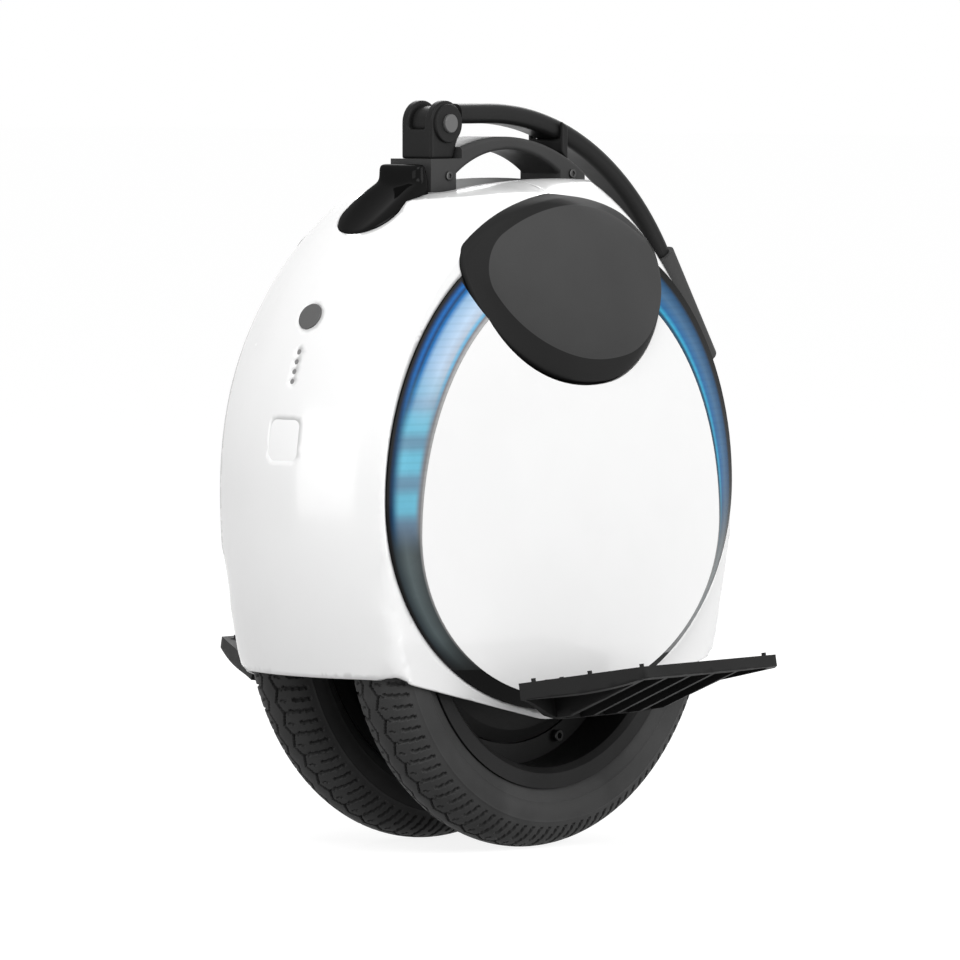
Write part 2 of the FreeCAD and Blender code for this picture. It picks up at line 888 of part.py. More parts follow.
def rounded_wire(points, radius):
    """A closed outline of straight runs with every corner rounded."""
    edges, spans, count = [], [], len(points)
    for index in range(count):
        before, corner, after = points[index - 1], points[index], points[(index + 1) % count]
        into, out = (before - corner).normalize(), (after - corner).normalize()
        turn = into.getAngle(out)
        cut = radius / math.tan(turn / 2)
        bisector = (into + out).normalize()
        middle = corner + bisector * (radius / math.sin(turn / 2) - radius)
        spans.append((corner + into * cut, middle, corner + out * cut))
    for index in range(count):
        start, middle, end = spans[index]
        edges.append(Part.Arc(start, middle, end).toShape())
        edges.append(Part.makeLine(end, spans[(index + 1) % count][0]))
    return Part.Wire(edges)


def rounded_prism(points, radius, push):
    return Part.Face(rounded_wire(points, radius)).extrude(push)


Egg = namedtuple("Egg", "half_width rise drop centre")


def egg_wire(egg, y):
    """An egg outline on a side plane: two half ellipses that share their width."""
    edges = []
    for sign, height in ((1, egg.rise), (-1, egg.drop)):
        arc = Part.Arc(Vector(sign, 0, 0), Vector(0, 0, sign), Vector(-sign, 0, 0)).toShape()
        stretch = Matrix()
        stretch.scale(Vector(egg.half_width, 1, height))
        arc = arc.transformGeometry(stretch)
        arc.translate(Vector(0, y, egg.centre))
        edges.append(arc)
    return Part.Wire(edges)


def shrink(egg, inset):
    return Egg(egg.half_width - inset, egg.rise - inset, egg.drop - inset, egg.centre)


def egg_prism(egg, low, high):
    return Part.Face(egg_wire(egg, low)).extrude(Vector(0, high - low, 0))


RING_EGG = Egg(egg_half_width, float(egg_rise), float(egg_drop), float(egg_centre))
PANEL_EGG = Egg(
    egg_half_width - float(dim.ring_side_width),
    float(egg_rise - dim.ring_top_width + dim.ring_shift),
    float(egg_drop - dim.ring_foot_width - dim.ring_shift),
    float(egg_centre - dim.ring_shift),
)
GAP = float(dim.fit_gap)
OVERRUN = float(dim.overrun)
WALL = float(dim.shell_wall)
SIDE = float(side_face)
FORM = crowned_form(0, SIDE, 0, float(deck)).common(deck_dome(0))
FORM_INSIDE = crowned_form(WALL, float(side_inner), -OVERRUN, float(deck)).common(deck_dome(WALL))


def crown_x(height):
    """How far forward the crown reaches at a height, on the middle line."""
    above = float(height) > float(crown_centre)
    share = (height - crown_centre) / (crown_rise if above else crown_drop)
    return crown_length * root(1 - share * share)


def crown_normal(x, height):
    """The crown's outward direction on the middle line."""
    lift = float(height - crown_centre)
    rise = float(crown_rise if lift > 0 else crown_drop)
    return Vector(float(x) / float(crown_length) ** 2, 0, lift / rise**2).normalize()


def round_bar(radius, start, direction, length):
    return Part.makeCylinder(float(radius), float(length), start, direction)


def lip_tool():
    """What the body's lower edge leaves out: level at the ends, dipping along the sides."""
    ends, low = float(lip_height), float(lip_height - dim.lip_dip)
    outer, inner = float(crown_length - dim.lip_inset), float(dim.lip_flat)
    y = -SIDE - OVERRUN
    outline = [
        Vector(-reach, y, -reach),
        Vector(reach, y, -reach),
        Vector(reach, y, ends),
        Vector(outer, y, ends),
        Vector(inner, y, low),
        Vector(-inner, y, low),
        Vector(-outer, y, ends),
        Vector(-reach, y, ends),
    ]
    return rounded_prism(outline, float(dim.lip_round), Vector(0, -2 * y, 0))


def well_prism(inset, low, high):
    """The finger trough's outline, drawn in by the inset, between two heights."""
    front, rear = float(dim.well_front) - inset, -float(dim.well_rear) + inset
    half = float(dim.well_half_width) - inset
    corners = [(rear, -half), (front, -half), (front, half), (rear, half)]
    outline = [Vector(x, y, low) for x, y in corners]
    return rounded_prism(outline, float(dim.well_corner) - inset, Vector(0, 0, high - low))


def scoop_frame():
    """The point of the crown under the scoop, its downhill direction and its outward one."""
    x = float(scoop_x)
    lift = float(crown_rise) * math.sqrt(1 - (x / float(crown_length)) ** 2)
    spot = Vector(x, 0, float(crown_centre) + lift)
    out = crown_normal(x, Size(spot.z, ""))
    return spot, Vector(out.z, 0, -out.x), out


def scoop_prism(inset):
    """The tongue outline of the front scoop, pushed through the crown."""
    spot, down, out = scoop_frame()
    depth = float(dim.scoop_lower_width)
    upper = float(dim.scoop_upper) - inset
    half_upper = float(dim.scoop_upper_width) / 2 - inset
    half_lower = float(dim.scoop_lower_width) / 2 - inset
    lower = float(dim.scoop_lower)

    def at(along, across):
        return spot - out * (depth / 2) + down * along + Vector(0, across, 0)

    arc = Part.Arc(at(lower, half_lower), at(lower + half_lower, 0), at(lower, -half_lower)).toShape()
    ends = [at(lower, -half_lower), at(-upper, -half_upper), at(-upper, half_upper), at(lower, half_lower)]
    lines = [Part.makeLine(a, b) for a, b in zip(ends, ends[1:])]
    return Part.Face(Part.Wire([arc] + lines)).extrude(out * depth)


def lamp_prism(height, width, tall, sign, inset=0):
    """A lamp window pushed out through the crown at one end of the body."""
    start = sign * float(crown_x(height) - dim.lamp_depth)
    half_y, half_z = float(width) / 2 - inset, float(tall) / 2 - inset
    corners = [(-half_y, -half_z), (half_y, -half_z), (half_y, half_z), (-half_y, half_z)]
    outline = [Vector(start, y, float(height) + z) for y, z in corners]
    push = Vector(sign * float(2 * dim.lamp_depth), 0, 0)
    return rounded_prism(outline, float(dim.lamp_corner) - inset, push)


LAMPS = (
    ("headlight_lens", headlight_height, dim.headlight_width, dim.headlight_tall, 1),
    ("tail_light_lens", tail_light_height, dim.tail_light_width, dim.tail_light_tall, -1),
)
button_x = crown_x(button_height)
BUTTON_SPOT = Vector(float(button_x), 0, float(button_height))
BUTTON_OUT = crown_normal(button_x, button_height)
charge_face = -crown_x(charge_height) - dim.charge_proud
FORWARD = Vector(1, 0, 0)


def gauge_bars():
    """Light pipes for the charge level, one below the other behind the crown."""
    bars = []
    for step in range(GAUGE_LIGHT_COUNT):
        height = gauge_height - dim.gauge_pitch * step
        start = Vector(float(crown_x(height) - dim.gauge_length), 0, float(height))
        bars.append(round_bar(dim.gauge_radius, start, FORWARD, 2 * dim.gauge_length))
    return bars


def charge_bar(radius, start, length):
    spot = Vector(float(start), 0, float(charge_height))
    return round_bar(radius, spot, FORWARD, length)


def make_shells():
    tools = [FORM_INSIDE, lip_tool(), scoop_prism(0)]
    tools.append(egg_prism(RING_EGG, float(side_inner) - OVERRUN, SIDE + OVERRUN))
    tools.append(egg_prism(RING_EGG, -SIDE - OVERRUN, OVERRUN - float(side_inner)))
    tools.append(well_prism(0, float(deck - dim.well_depth - dim.well_wall), float(deck) + OVERRUN))
    tools.extend(lamp_prism(*lamp[1:]) for lamp in LAMPS)
    tools.extend(gauge_bars())
    button_hole = dim.button_radius + dim.running_fit
    back = BUTTON_SPOT - BUTTON_OUT * float(dim.switch_depth)
    tools.append(round_bar(button_hole, back, BUTTON_OUT, 2 * dim.switch_depth))
    tools.append(charge_bar(dim.charge_body_radius, charge_face, 2 * dim.charge_depth))
    shell = FORM
    for tool in tools:
        shell = shell.cut(tool)
    for label, start in (("front_shell", 0), ("rear_shell", -reach)):
        end = Part.makeBox(reach, 2 * reach, 2 * reach, Vector(start, -reach, -reach))
        sculpted(label, shell.common(end))


def make_grip_well():
    floor = float(deck - dim.well_depth)
    tray = well_prism(0, floor - float(dim.well_wall), float(deck)).common(FORM)
    sculpted("grip_well", tray.cut(well_prism(float(dim.well_wall), floor, float(deck) + OVERRUN)))


def make_scoop():
    spot, down, out = scoop_frame()
    width = float(dim.scoop_lower_width)
    skin = crowned_form(-float(dim.scoop_proud), width, 0, reach)
    wall = float(dim.scoop_wall)
    skin = skin.cut(crowned_form(wall, width + OVERRUN, -OVERRUN, reach).common(deck_dome(wall)))
    length = float(dim.scoop_upper + dim.scoop_lower_width)
    centre = spot + out * float(dim.scoop_hollow_radius - dim.scoop_hollow_depth)
    hollow = round_bar(dim.scoop_hollow_radius, centre - down * length, down, 2 * length)
    well = well_prism(-GAP, float(deck - dim.well_depth - dim.well_wall) - OVERRUN, float(deck) + reach)
    sculpted("front_scoop", scoop_prism(GAP).common(skin).cut(hollow).cut(well).fuse(scoop_collar()))


def scoop_collar():
    """The rounded roll at the scoop's upper end, in front of the carry handle."""
    back = float(dim.well_front) + GAP
    nose = back + float(dim.collar_length)
    half = float(dim.collar_width) / 2
    low, high = float(deck - dim.collar_drop), float(deck + dim.collar_rise)
    radius = float(dim.collar_round)
    profile = [Vector(x, -half, z) for x, z in ((back, low), (nose, low), (nose, high), (back, high))]
    plan = [Vector(x, y, low) for x, y in ((back, -half), (nose, -half), (nose, half), (back, half))]
    roll = rounded_prism(profile, radius, Vector(0, 2 * half, 0))
    return roll.common(rounded_prism(plan, radius, Vector(0, 0, high - low)))


def make_lights():
    boards = []
    for label, height, width, tall, sign in LAMPS:
        sculpted(label, lamp_prism(height, width, tall, sign).common(FORM))
        start = sign * float(crown_x(height) - dim.lamp_depth)
        wall = sign * float(dim.lamp_board_wall)
        board = lamp_prism(height, width, tall, sign, float(dim.lamp_board_wall))
        board.translate(Vector(-wall, 0, 0))
        low, high = sorted((start - wall, start))
        boards.append(board.common(Part.makeBox(high - low, reach, reach, Vector(low, -reach / 2, 0))))
    sculpted("lamp_boards", Part.makeCompound(boards))
    sculpted("battery_gauge", Part.makeCompound([bar.common(FORM) for bar in gauge_bars()]))


def make_button():
    lean = Rotation(Vector(0, 0, 1), BUTTON_OUT)
    button = Piece("power_button", dim.axle_x + button_x, 0, button_height, lean)
    button.pad("XY", -dim.button_depth, dim.button_proud, Disc(0, 0, dim.button_radius))
    top = float(dim.button_proud)
    button.dress("Fillet", "Radius", dim.button_round, lambda e: e.BoundBox.ZMin > top - GAP)
    depth = float(dim.switch_depth)
    back = BUTTON_SPOT - BUTTON_OUT * depth
    cup = round_bar(dim.button_radius + dim.switch_wall, back, BUTTON_OUT, 2 * depth).common(FORM_INSIDE)
    floor = back + BUTTON_OUT * float(dim.switch_wall)
    sculpted("button_switch", cup.cut(round_bar(dim.button_radius + dim.fit_gap, floor, BUTTON_OUT, 2 * depth)))


def make_charge_port():
    bezel = charge_bar(dim.charge_bezel_radius, charge_face, dim.charge_depth).cut(FORM)
    body = charge_bar(dim.charge_body_radius, charge_face, dim.charge_depth + dim.charge_proud)
    floor = charge_face + dim.charge_depth + dim.charge_proud - dim.charge_floor
    seat = floor - dim.charge_recess_depth
    bore = charge_bar(dim.charge_bore_radius, charge_face - dim.overrun, seat - charge_face + dim.overrun)
    recess = charge_bar(dim.charge_recess_radius, seat, dim.charge_recess_depth)
    socket = bezel.fuse(body).cut(bore).cut(recess)
    for step in range(CHARGE_PINS):
        angle = 2 * math.pi * step / CHARGE_PINS
        pin = charge_bar(dim.charge_pin_radius, floor - dim.charge_pin_length, dim.charge_pin_length)
        circle = float(dim.charge_pin_circle)
        pin.translate(Vector(0, circle * math.sin(angle), circle * math.cos(angle)))
        socket = socket.fuse(pin)
    sculpted("charge_socket", socket.removeSplitter())
    hinge = dim.cap_hinge_radius
    drop = dim.cap_radius + hinge
    tab = dim.cap_tab_width / 2
    cap = Piece("charge_cap", dim.axle_x + charge_face - dim.fit_gap - hinge, 0, charge_height + drop)
    disc = Disc(0, -drop, dim.cap_radius)
    cap.pad("YZ", hinge - dim.cap_wall, hinge, disc)
    low = -dim.cap_radius
    cap.pad("YZ", hinge - dim.cap_wall, hinge, [(-tab, low), (tab, low), (tab, 0), (-tab, 0)])
    cap.pad("XZ", -tab, tab, Disc(0, 0, hinge))


# Sides: plate, lens, trim, light strip, panel and knee pad


def bevel(shift):
    """The raised side form inside the ring's outline: a low edge, then a slope up to the panel."""
    edge, top = SIDE + float(dim.ring_edge), float(panel_face)
    slope = Part.makeLoft([egg_wire(RING_EGG, edge), egg_wire(PANEL_EGG, top)], True, True)
    form = egg_prism(RING_EGG, SIDE, edge).fuse(slope)
    form.translate(Vector(0, -shift, 0))
    return form


Teardrop = namedtuple("Teardrop", "rear tip rear_radius tip_radius upper_radius lower_radius")


def pad_level(name):
    """One outline of the knee pad: two circles and the radii of the arcs that bridge them."""

    def size(part):
        return float(getattr(dim, f"{name}_{part}"))

    rear = Vector(-size("rear_offset"), 0, float(deck) - size("below_deck"))
    tip = rear + Vector(size("length"), 0, size("tip_lift"))
    radii = [size(part) for part in ("rear_radius", "tip_radius", "upper_radius", "lower_radius")]
    return Teardrop(rear, tip, *radii)


PAD_BASE = pad_level("pad_base")
PAD_EDGE = pad_level("pad_edge")
PAD_FACE = pad_level("pad_face")


def teardrop(level, y, grow=0, share=1):
    """A knee pad outline at a place along Y: two circles and two arcs that touch both, grown and scaled."""
    rear, tip = level.rear + Vector(0, y, 0), level.tip + Vector(0, y, 0)
    rear_radius, tip_radius = level.rear_radius + grow, level.tip_radius + grow
    span = (tip - rear).Length
    ahead = (tip - rear).normalize()
    above = Vector(-ahead.z, 0, ahead.x)
    middle = rear + ahead * (span / 4)

    def bridge(radius, up):
        from_rear, from_tip = radius - rear_radius, radius - tip_radius
        along = (from_rear**2 - from_tip**2 + span**2) / (2 * span)
        across = math.sqrt(from_rear**2 - along**2)
        centre = rear + ahead * along - above * (up * across)
        touch_rear = rear + (rear - centre).normalize() * rear_radius
        touch_tip = tip + (tip - centre).normalize() * tip_radius
        halfway = centre + ((touch_rear + touch_tip) * 0.5 - centre).normalize() * radius
        return touch_tip, halfway, touch_rear

    upper = bridge(level.upper_radius + grow, 1)
    lower = bridge(level.lower_radius + grow, -1)
    back = rear - ahead * rear_radius
    nose = tip + ahead * tip_radius
    high = rear + ((upper[2] + back) * 0.5 - rear).normalize() * rear_radius
    low = rear + ((lower[2] + back) * 0.5 - rear).normalize() * rear_radius
    arcs = [
        upper,
        (upper[2], high, back),
        (back, low, lower[2]),
        (lower[2], lower[1], lower[0]),
        (lower[0], nose, upper[0]),
    ]
    scaled = [[middle + (p - middle) * share for p in arc] for arc in arcs]
    return Part.Wire([Part.Arc(*arc).toShape() for arc in scaled])


def lug_notch():
    """Where the footrest's lug passes out through the side."""
    half = float(dim.lug_half_width) + 1.5 * GAP
    low = float(pedal_axis_height - dim.lug_radius) - GAP
    high = float(axle_height - dim.lug_root)
    start = float(side_inner) - OVERRUN
    return Part.makeBox(2 * half, reach, high - low, Vector(-half, start, low))


def make_knee_pad():
    """A cushion with sloping sides, a nearly flat face and a low dome, seated on the crown."""
    top = SIDE + float(dim.pad_height)
    sections = [
        teardrop(PAD_BASE, SIDE - float(dim.pad_sink)),
        teardrop(PAD_EDGE, float(panel_face)),
        teardrop(PAD_FACE, top - float(dim.pad_crown)),
        teardrop(PAD_FACE, top, share=PAD_CROWN_SHARE),
    ]
    return Part.makeLoft(sections, True, True).cut(crowned_form(-GAP, SIDE + GAP, 0, reach))


def make_sides():
    top = float(panel_face)
    clear = teardrop(PAD_BASE, SIDE - float(dim.pad_sink), GAP)
    pad_clear = Part.Face(clear).extrude(Vector(0, float(dim.pad_sink + dim.pad_height), 0))
    notch = lug_notch()
    low_zone = Part.makeBox(2 * reach, reach, float(trim_height), Vector(-reach, 0, 0))
    window = egg_prism(PANEL_EGG, SIDE - OVERRUN, top + OVERRUN)
    trim = bevel(0).cut(bevel(float(dim.trim_wall))).common(low_zone).cut(window).cut(notch)
    lens = bevel(0).cut(bevel(float(dim.lens_wall))).cut(window).cut(pad_clear).cut(notch)
    lens = lens.cut(trim)
    strip_low = SIDE - float(dim.led_wall)
    strip_egg = shrink(RING_EGG, float(dim.led_inset))
    strip = egg_prism(strip_egg, strip_low, SIDE)
    strip = strip.cut(egg_prism(shrink(strip_egg, float(dim.led_width)), strip_low - OVERRUN, SIDE + OVERRUN))
    strip = strip.cut(low_zone)
    plate = egg_prism(shrink(RING_EGG, GAP), float(side_inner), SIDE).cut(strip).cut(notch)
    axle = Vector(0, 0, float(axle_height))
    plate = plate.cut(round_bar(dim.axle_radius, axle, Vector(0, 1, 0), 2 * side_face))
    under = top - float(dim.panel_wall)
    panel = egg_prism(shrink(PANEL_EGG, GAP), under, top).cut(pad_clear).cut(notch)
    for x in (-dim.post_reach, dim.post_reach):
        for rise in (-dim.post_rise, dim.post_rise):
            foot = Vector(float(x), SIDE, float(axle_height + rise))
            panel = panel.fuse(round_bar(dim.post_radius, foot, Vector(0, 1, 0), under - SIDE))
    shapes = {
        "side_plate": plate,
        "light_ring": lens,
        "lower_trim": trim,
        "led_strip": strip,
        "side_panel": panel,
        "knee_pad": make_knee_pad(),
    }
    for label, shape in shapes.items():
        sculpted(f"left_{label}", shape)
        sculpted(f"right_{label}", shape.mirror(Vector(), Vector(0, 1, 0)))


# Inside the body


def polar(radius, angle):
    cosine = Size(math.cos(math.radians(angle.value)), f"cos({angle.text})")
    sine = Size(math.sin(math.radians(angle.value)), f"sin({angle.text})")
    return radius * cosine, radius * sine


def make_inside():
    far, across = Vector(0, -reach, float(axle_height)), Vector(0, 1, 0)
    tunnel = round_bar(liner_radius, far, across, 2 * reach)
    bore = round_bar(liner_radius - dim.liner_wall, far, across, 2 * reach)
    width = float(side_inner) - GAP
    arch = tunnel.cut(bore).common(slab(width, float(axle_height), float(deck))).common(FORM_INSIDE)
    sculpted("wheel_liner", arch)
    outer = liner_radius + dim.battery_wall
    half = dim.battery_width / 2
    start, end = dim.battery_start_angle, dim.battery_end_angle
    for label, side in (("front_battery", LEFT), ("rear_battery", RIGHT)):
        pack = Piece(label, z=axle_height, rotation=turned(side))
        pack.pad("XZ", -half, half, [
            polar(liner_radius, start),
            polar(outer, start),
            (*polar(outer, end), outer),
            polar(liner_radius, end),
            (*polar(liner_radius, start), -liner_radius),
        ][1:])
    sink_x, sink_y = dim.sink_length / 2, dim.sink_width / 2
    foot = root(liner_radius * liner_radius - sink_x * sink_x)
    top = liner_radius + dim.sink_height
    sink = Piece("heat_sink", z=axle_height)
    sink.pad("XZ", -sink_y, sink_y, [
        (sink_x, foot, -liner_radius),
        (sink_x, top),
        (-sink_x, top),
        (-sink_x, foot),
    ])
    groove = (dim.fin_pitch - dim.fin_wall) / 2
    first = (1 - SINK_GROOVE_COUNT) * dim.fin_pitch / 2
    slot = sink.pocket("XZ", -sink_y - dim.overrun, sink_y + dim.overrun, [
        (first - groove, liner_radius + dim.sink_base),
        (first + groove, liner_radius + dim.sink_base),
        (first + groove, top + dim.overrun),
        (first - groove, top + dim.overrun),
    ])
    sink.along(slot, "X_Axis", (SINK_GROOVE_COUNT - 1) * dim.fin_pitch, SINK_GROOVE_COUNT)
    board = Piece("control_board", z=axle_height)
    corners = [(-sink_x, -sink_y), (sink_x, -sink_y), (sink_x, sink_y), (-sink_x, sink_y)]
    board.pad("XY", top, top + dim.board_wall, corners)


# Handles


def arc_centre(start, end, radius):
    """The centre of the short arc that turns left from start to end."""
    run, lift = end[0] - start[0], end[1] - start[1]
    length = root(run * run + lift * lift)
    rise = root(radius * radius - length * length / 4)
    return (start[0] + end[0]) / 2 - lift / length * rise, (start[1] + end[1]) / 2 + run / length * rise


def make_carry_handle():
    crest = (dim.handle_step, dim.handle_shoulder)
    tail = (-handle_rear, dim.handle_tail)
    floor = -dim.well_depth
    front_leg = handle_front - dim.handle_leg
    rear_leg = dim.handle_leg - handle_rear
    half = dim.handle_width / 2
    handle = Piece("carry_handle", z=deck)
    handle.pad("XZ", -half, half, [
        (handle_front, floor),
        (handle_front, dim.handle_plinth),
        (dim.handle_step, dim.handle_plinth),
        crest,
        (*tail, dim.handle_outer_radius),
        (-handle_rear, floor),
        (rear_leg, floor),
        (rear_leg, 0),
        (front_leg, 0, -dim.handle_inner_radius),
        (front_leg, floor),
    ])
    handle.dress("Fillet", "Radius", dim.handle_round, lambda e: isinstance(e.Curve, Part.Circle))
    screws = []
    for _, side in SIDES:
        low = outward(side, half, dim.handle_screw_height)
        for x in (dim.handle_screw_front, -dim.handle_screw_rear):
            screws.append(cylinder(dim.handle_screw_radius, dim.handle_screw_height,
                                   dim.axle_x + x, low, deck, ALONG_Y))
    group("handle_screws", screws)
    return arc_centre(crest, tail, dim.handle_outer_radius)


bend_x = dim.hinge_x - dim.tube_run
bend_height = hinge_height + dim.tube_lift - dim.tube_bend_radius


def make_pole_clip(handle_centre):
    """An open clip that stands on the carry handle and holds the folded pole."""
    floor = dim.tube_bend_radius - dim.tube_height / 2 - dim.fit_gap
    crest = dim.tube_bend_radius + dim.clip_grip
    near, far = dim.clip_length / 2 - dim.clip_x - bend_x, -dim.clip_length / 2 - dim.clip_x - bend_x
    slot = dim.tube_width / 2 + dim.fit_gap
    half = slot + dim.clip_wall
    low = deck - bend_height
    clip = Piece("pole_clip", dim.axle_x + bend_x, 0, bend_height)
    clip.pad("XZ", -half, half, [
        (far, low),
        (near, low),
        (near, root(crest * crest - near * near)),
        (far, root(crest * crest - far * far), crest),
    ])
    centre_x, centre_z = handle_centre
    clip.pocket("XZ", -half - dim.overrun, half + dim.overrun,
                Disc(centre_x - bend_x, centre_z + low, dim.handle_outer_radius + dim.fit_gap))
    wide_near, wide_far = near + dim.overrun, far - dim.overrun
    clip.pocket("XZ", -slot, slot, [
        (wide_far, root(floor * floor - wide_far * wide_far)),
        (wide_near, root(floor * floor - wide_near * wide_near), -floor),
        (wide_near, crest + dim.overrun),
        (wide_far, crest + dim.overrun),
    ])


def ear_outline(low):
    """A bracket side: upright in front, round about the hinge, drawn in towards its rear foot."""
    radius = dim.ear_radius
    slant = -radius * EAR_SLANT_SHARE
    return [
        (-dim.ear_foot, low),
        (radius, low),
        (radius, 0),
        (0, radius, radius),
        (-radius, 0, radius),
        (slant, slant, radius),
    ]


def make_pole_bracket():
    spot = dim.axle_x + dim.hinge_x
    low = dim.handle_plinth - dim.hinge_rise
    seat = dim.knuckle_radius + dim.fit_gap
    inner = dim.knuckle_width / 2 + dim.fit_gap
    outer = inner + dim.ear_wall
    radius = dim.ear_radius
    bracket = Piece("pole_bracket", spot, 0, hinge_height)
    foot = -dim.ear_foot
    bracket.pad("XZ", -outer, outer, [(foot, low), (radius, low), (radius, -seat), (foot, -seat)])
    for bottom, top in ((inner, outer), (-outer, -inner)):
        bracket.pad("XZ", bottom, top, ear_outline(low))
    bracket.pad("XZ", -inner, inner, [
        (seat, -seat),
        (radius, -seat),
        (radius, -dim.hinge_stop),
        (seat, -dim.hinge_stop),
    ])
    face = float(outer)
    bracket.dress("Fillet", "Radius", dim.ear_round, lambda e: abs(e.BoundBox.YMin) > face - GAP
                  and e.BoundBox.YLength < GAP and e.BoundBox.ZMin > float(low) + GAP)
    pin_end = outer - dim.release_depth
    bracket.pocket("XZ", -outer - dim.overrun, outer + dim.overrun, Disc(0, 0, dim.hinge_pin_radius))
    release_bore = Disc(0, 0, dim.release_radius + dim.running_fit)
    bracket.pocket("XZ", pin_end, outer + dim.overrun, release_bore)
    pin = Piece("hinge_pin", spot, 0, hinge_height)
    pin.pad("XZ", -outer, pin_end, Disc(0, 0, dim.hinge_pin_radius))
    cap_top = outer + dim.cap_height
    cap = Piece("hinge_cap", spot, 0, hinge_height)
    cap.pad("XZ", outer, cap_top, Disc(0, 0, radius - dim.cap_inset), release_bore)
    cap.dress("Fillet", "Radius", dim.cap_round, lambda e: e.BoundBox.YMin > float(cap_top) - GAP
              and e.BoundBox.XLength > 2 * float(dim.release_radius + dim.fit_gap))
    release = Piece("hinge_release", spot, 0, hinge_height)
    release_top = cap_top + dim.release_proud
    release.pad("XZ", pin_end + dim.release_travel + dim.fit_gap, release_top, Disc(0, 0, dim.release_radius))
    release.dress("Fillet", "Radius", dim.release_round, lambda e: e.BoundBox.YMin > float(release_top) - GAP)


def shifted(loop, x, y):
    return [(c[0] + x, c[1] + y, *c[2:]) for c in loop]


def make_pole():
    spot = dim.axle_x + dim.hinge_x
    half = dim.knuckle_width / 2
    lift, bend = dim.tube_lift, dim.tube_bend_radius
    bend_start = -dim.tube_run
    angle = dim.tube_bend_angle
    cosine, sine = polar(as_size(1), angle)
    bend_end = (bend_start - bend * sine, lift - bend + bend * cosine)
    inside = dim.grip_length - dim.grip_end_wall
    tube = Piece("pole_tube", spot, 0, hinge_height)
    tube.pad("XZ", -half, half, Disc(0, 0, dim.knuckle_radius))
    neck = dim.tube_height / 2 - dim.tube_corner / 2
    tube.pad("XZ", -half, half, [
        (-dim.tube_start - dim.tube_corner, lift - neck),
        (0, lift - neck),
        (0, lift + neck),
        (-dim.tube_start - dim.tube_corner, lift + neck),
    ])
    section = rounded_rectangle(dim.tube_width, dim.tube_height, dim.tube_corner)
    path = [
        (-dim.tube_start, lift),
        (bend_start, lift),
        (*bend_end, bend),
        (bend_end[0] - inside * cosine, bend_end[1] - inside * sine),
    ]
    tube.pipe(path, shifted(section, 0, lift), -dim.tube_start)
    eye = Disc(0, 0, dim.hinge_pin_radius + dim.running_fit)
    tube.pocket("XZ", -half - dim.overrun, half + dim.overrun, eye)
    slope = Rotation(Vector(0, 1, 0), 180 - float(angle))
    grip = Piece("pole_grip", spot + bend_end[0], 0, hinge_height + bend_end[1], slope)
    outer = rounded_rectangle(dim.grip_width, dim.grip_height, dim.grip_corner)
    grip.pad("YZ", 0, inside, outer, section)
    grip.pad("YZ", inside, dim.grip_length, outer)
    end = float(dim.grip_length)
    grip.dress("Fillet", "Radius", dim.grip_round, lambda e: e.BoundBox.XMin > end - GAP)


# Footrests


def make_hangers():
    pins, screws = [], []
    half = dim.hanger_half_width
    lug = dim.lug_half_width
    axis_z = -dim.hanger_drop
    foot = axis_z - dim.lug_radius
    for name, side in SIDES:
        hanger = Piece(f"{name}_hanger", z=axle_height, rotation=turned(side))
        hanger.pad("XZ", hanger_inner, side_inner, [
            (-half, foot),
            (half, foot),
            (half, 0),
            (0, half, half),
            (-half, 0, half),
        ], Disc(0, 0, dim.axle_radius))
        hanger.pad("YZ", -lug, lug, [
            (hanger_inner, foot),
            (pedal_axis_y, foot),
            (pedal_axis_y, axis_z + dim.lug_radius),
            (side_inner, -dim.lug_root - dim.fit_gap),
            (hanger_inner, -dim.lug_root - dim.fit_gap),
        ])
        hanger.pad("YZ", -lug, lug, Disc(pedal_axis_y, axis_z, dim.lug_radius))
        bore = Disc(pedal_axis_y, axis_z, dim.pedal_pin_radius)
        hanger.pocket("YZ", -lug - dim.overrun, lug + dim.overrun, bore)
        length = 2 * (lug + dim.fit_gap + dim.pedal_ear_wall)
        pins.append(cylinder(dim.pedal_pin_radius, length, dim.axle_x - length / 2,
                             side * pedal_axis_y, pedal_axis_height, Rotation(Vector(0, 1, 0), 90)))
        low = outward(side, side_face, dim.hanger_screw_height)
        for x in (-dim.hanger_screw_reach, dim.hanger_screw_reach):
            for z in (dim.hanger_screw_rise, -dim.hanger_screw_fall):
                screws.append(cylinder(dim.hanger_screw_radius, dim.hanger_screw_height,
                                       dim.axle_x + x, low, axle_height + z, ALONG_Y))
    group("pedal_pins", pins)
    group("hanger_screws", screws)


def pedal_outline(side, inset):
    """The footrest from above: narrow at the hinge, swept back at its front outer corner."""
    half, neck = dim.pedal_half_length - inset, dim.pedal_neck_half - inset
    near, far = dim.pedal_start + inset, dim.pedal_reach - inset
    corners = [
        (neck, near),
        (half, dim.pedal_start + dim.pedal_front_shoulder),
        (half - dim.pedal_sweep, far),
        (dim.pedal_corner - half, far),
        (-half, far - dim.pedal_corner),
        (-half, dim.pedal_start + dim.pedal_rear_shoulder),
        (-neck, near),
    ]
    return [(x * side, y) for x, y in corners]


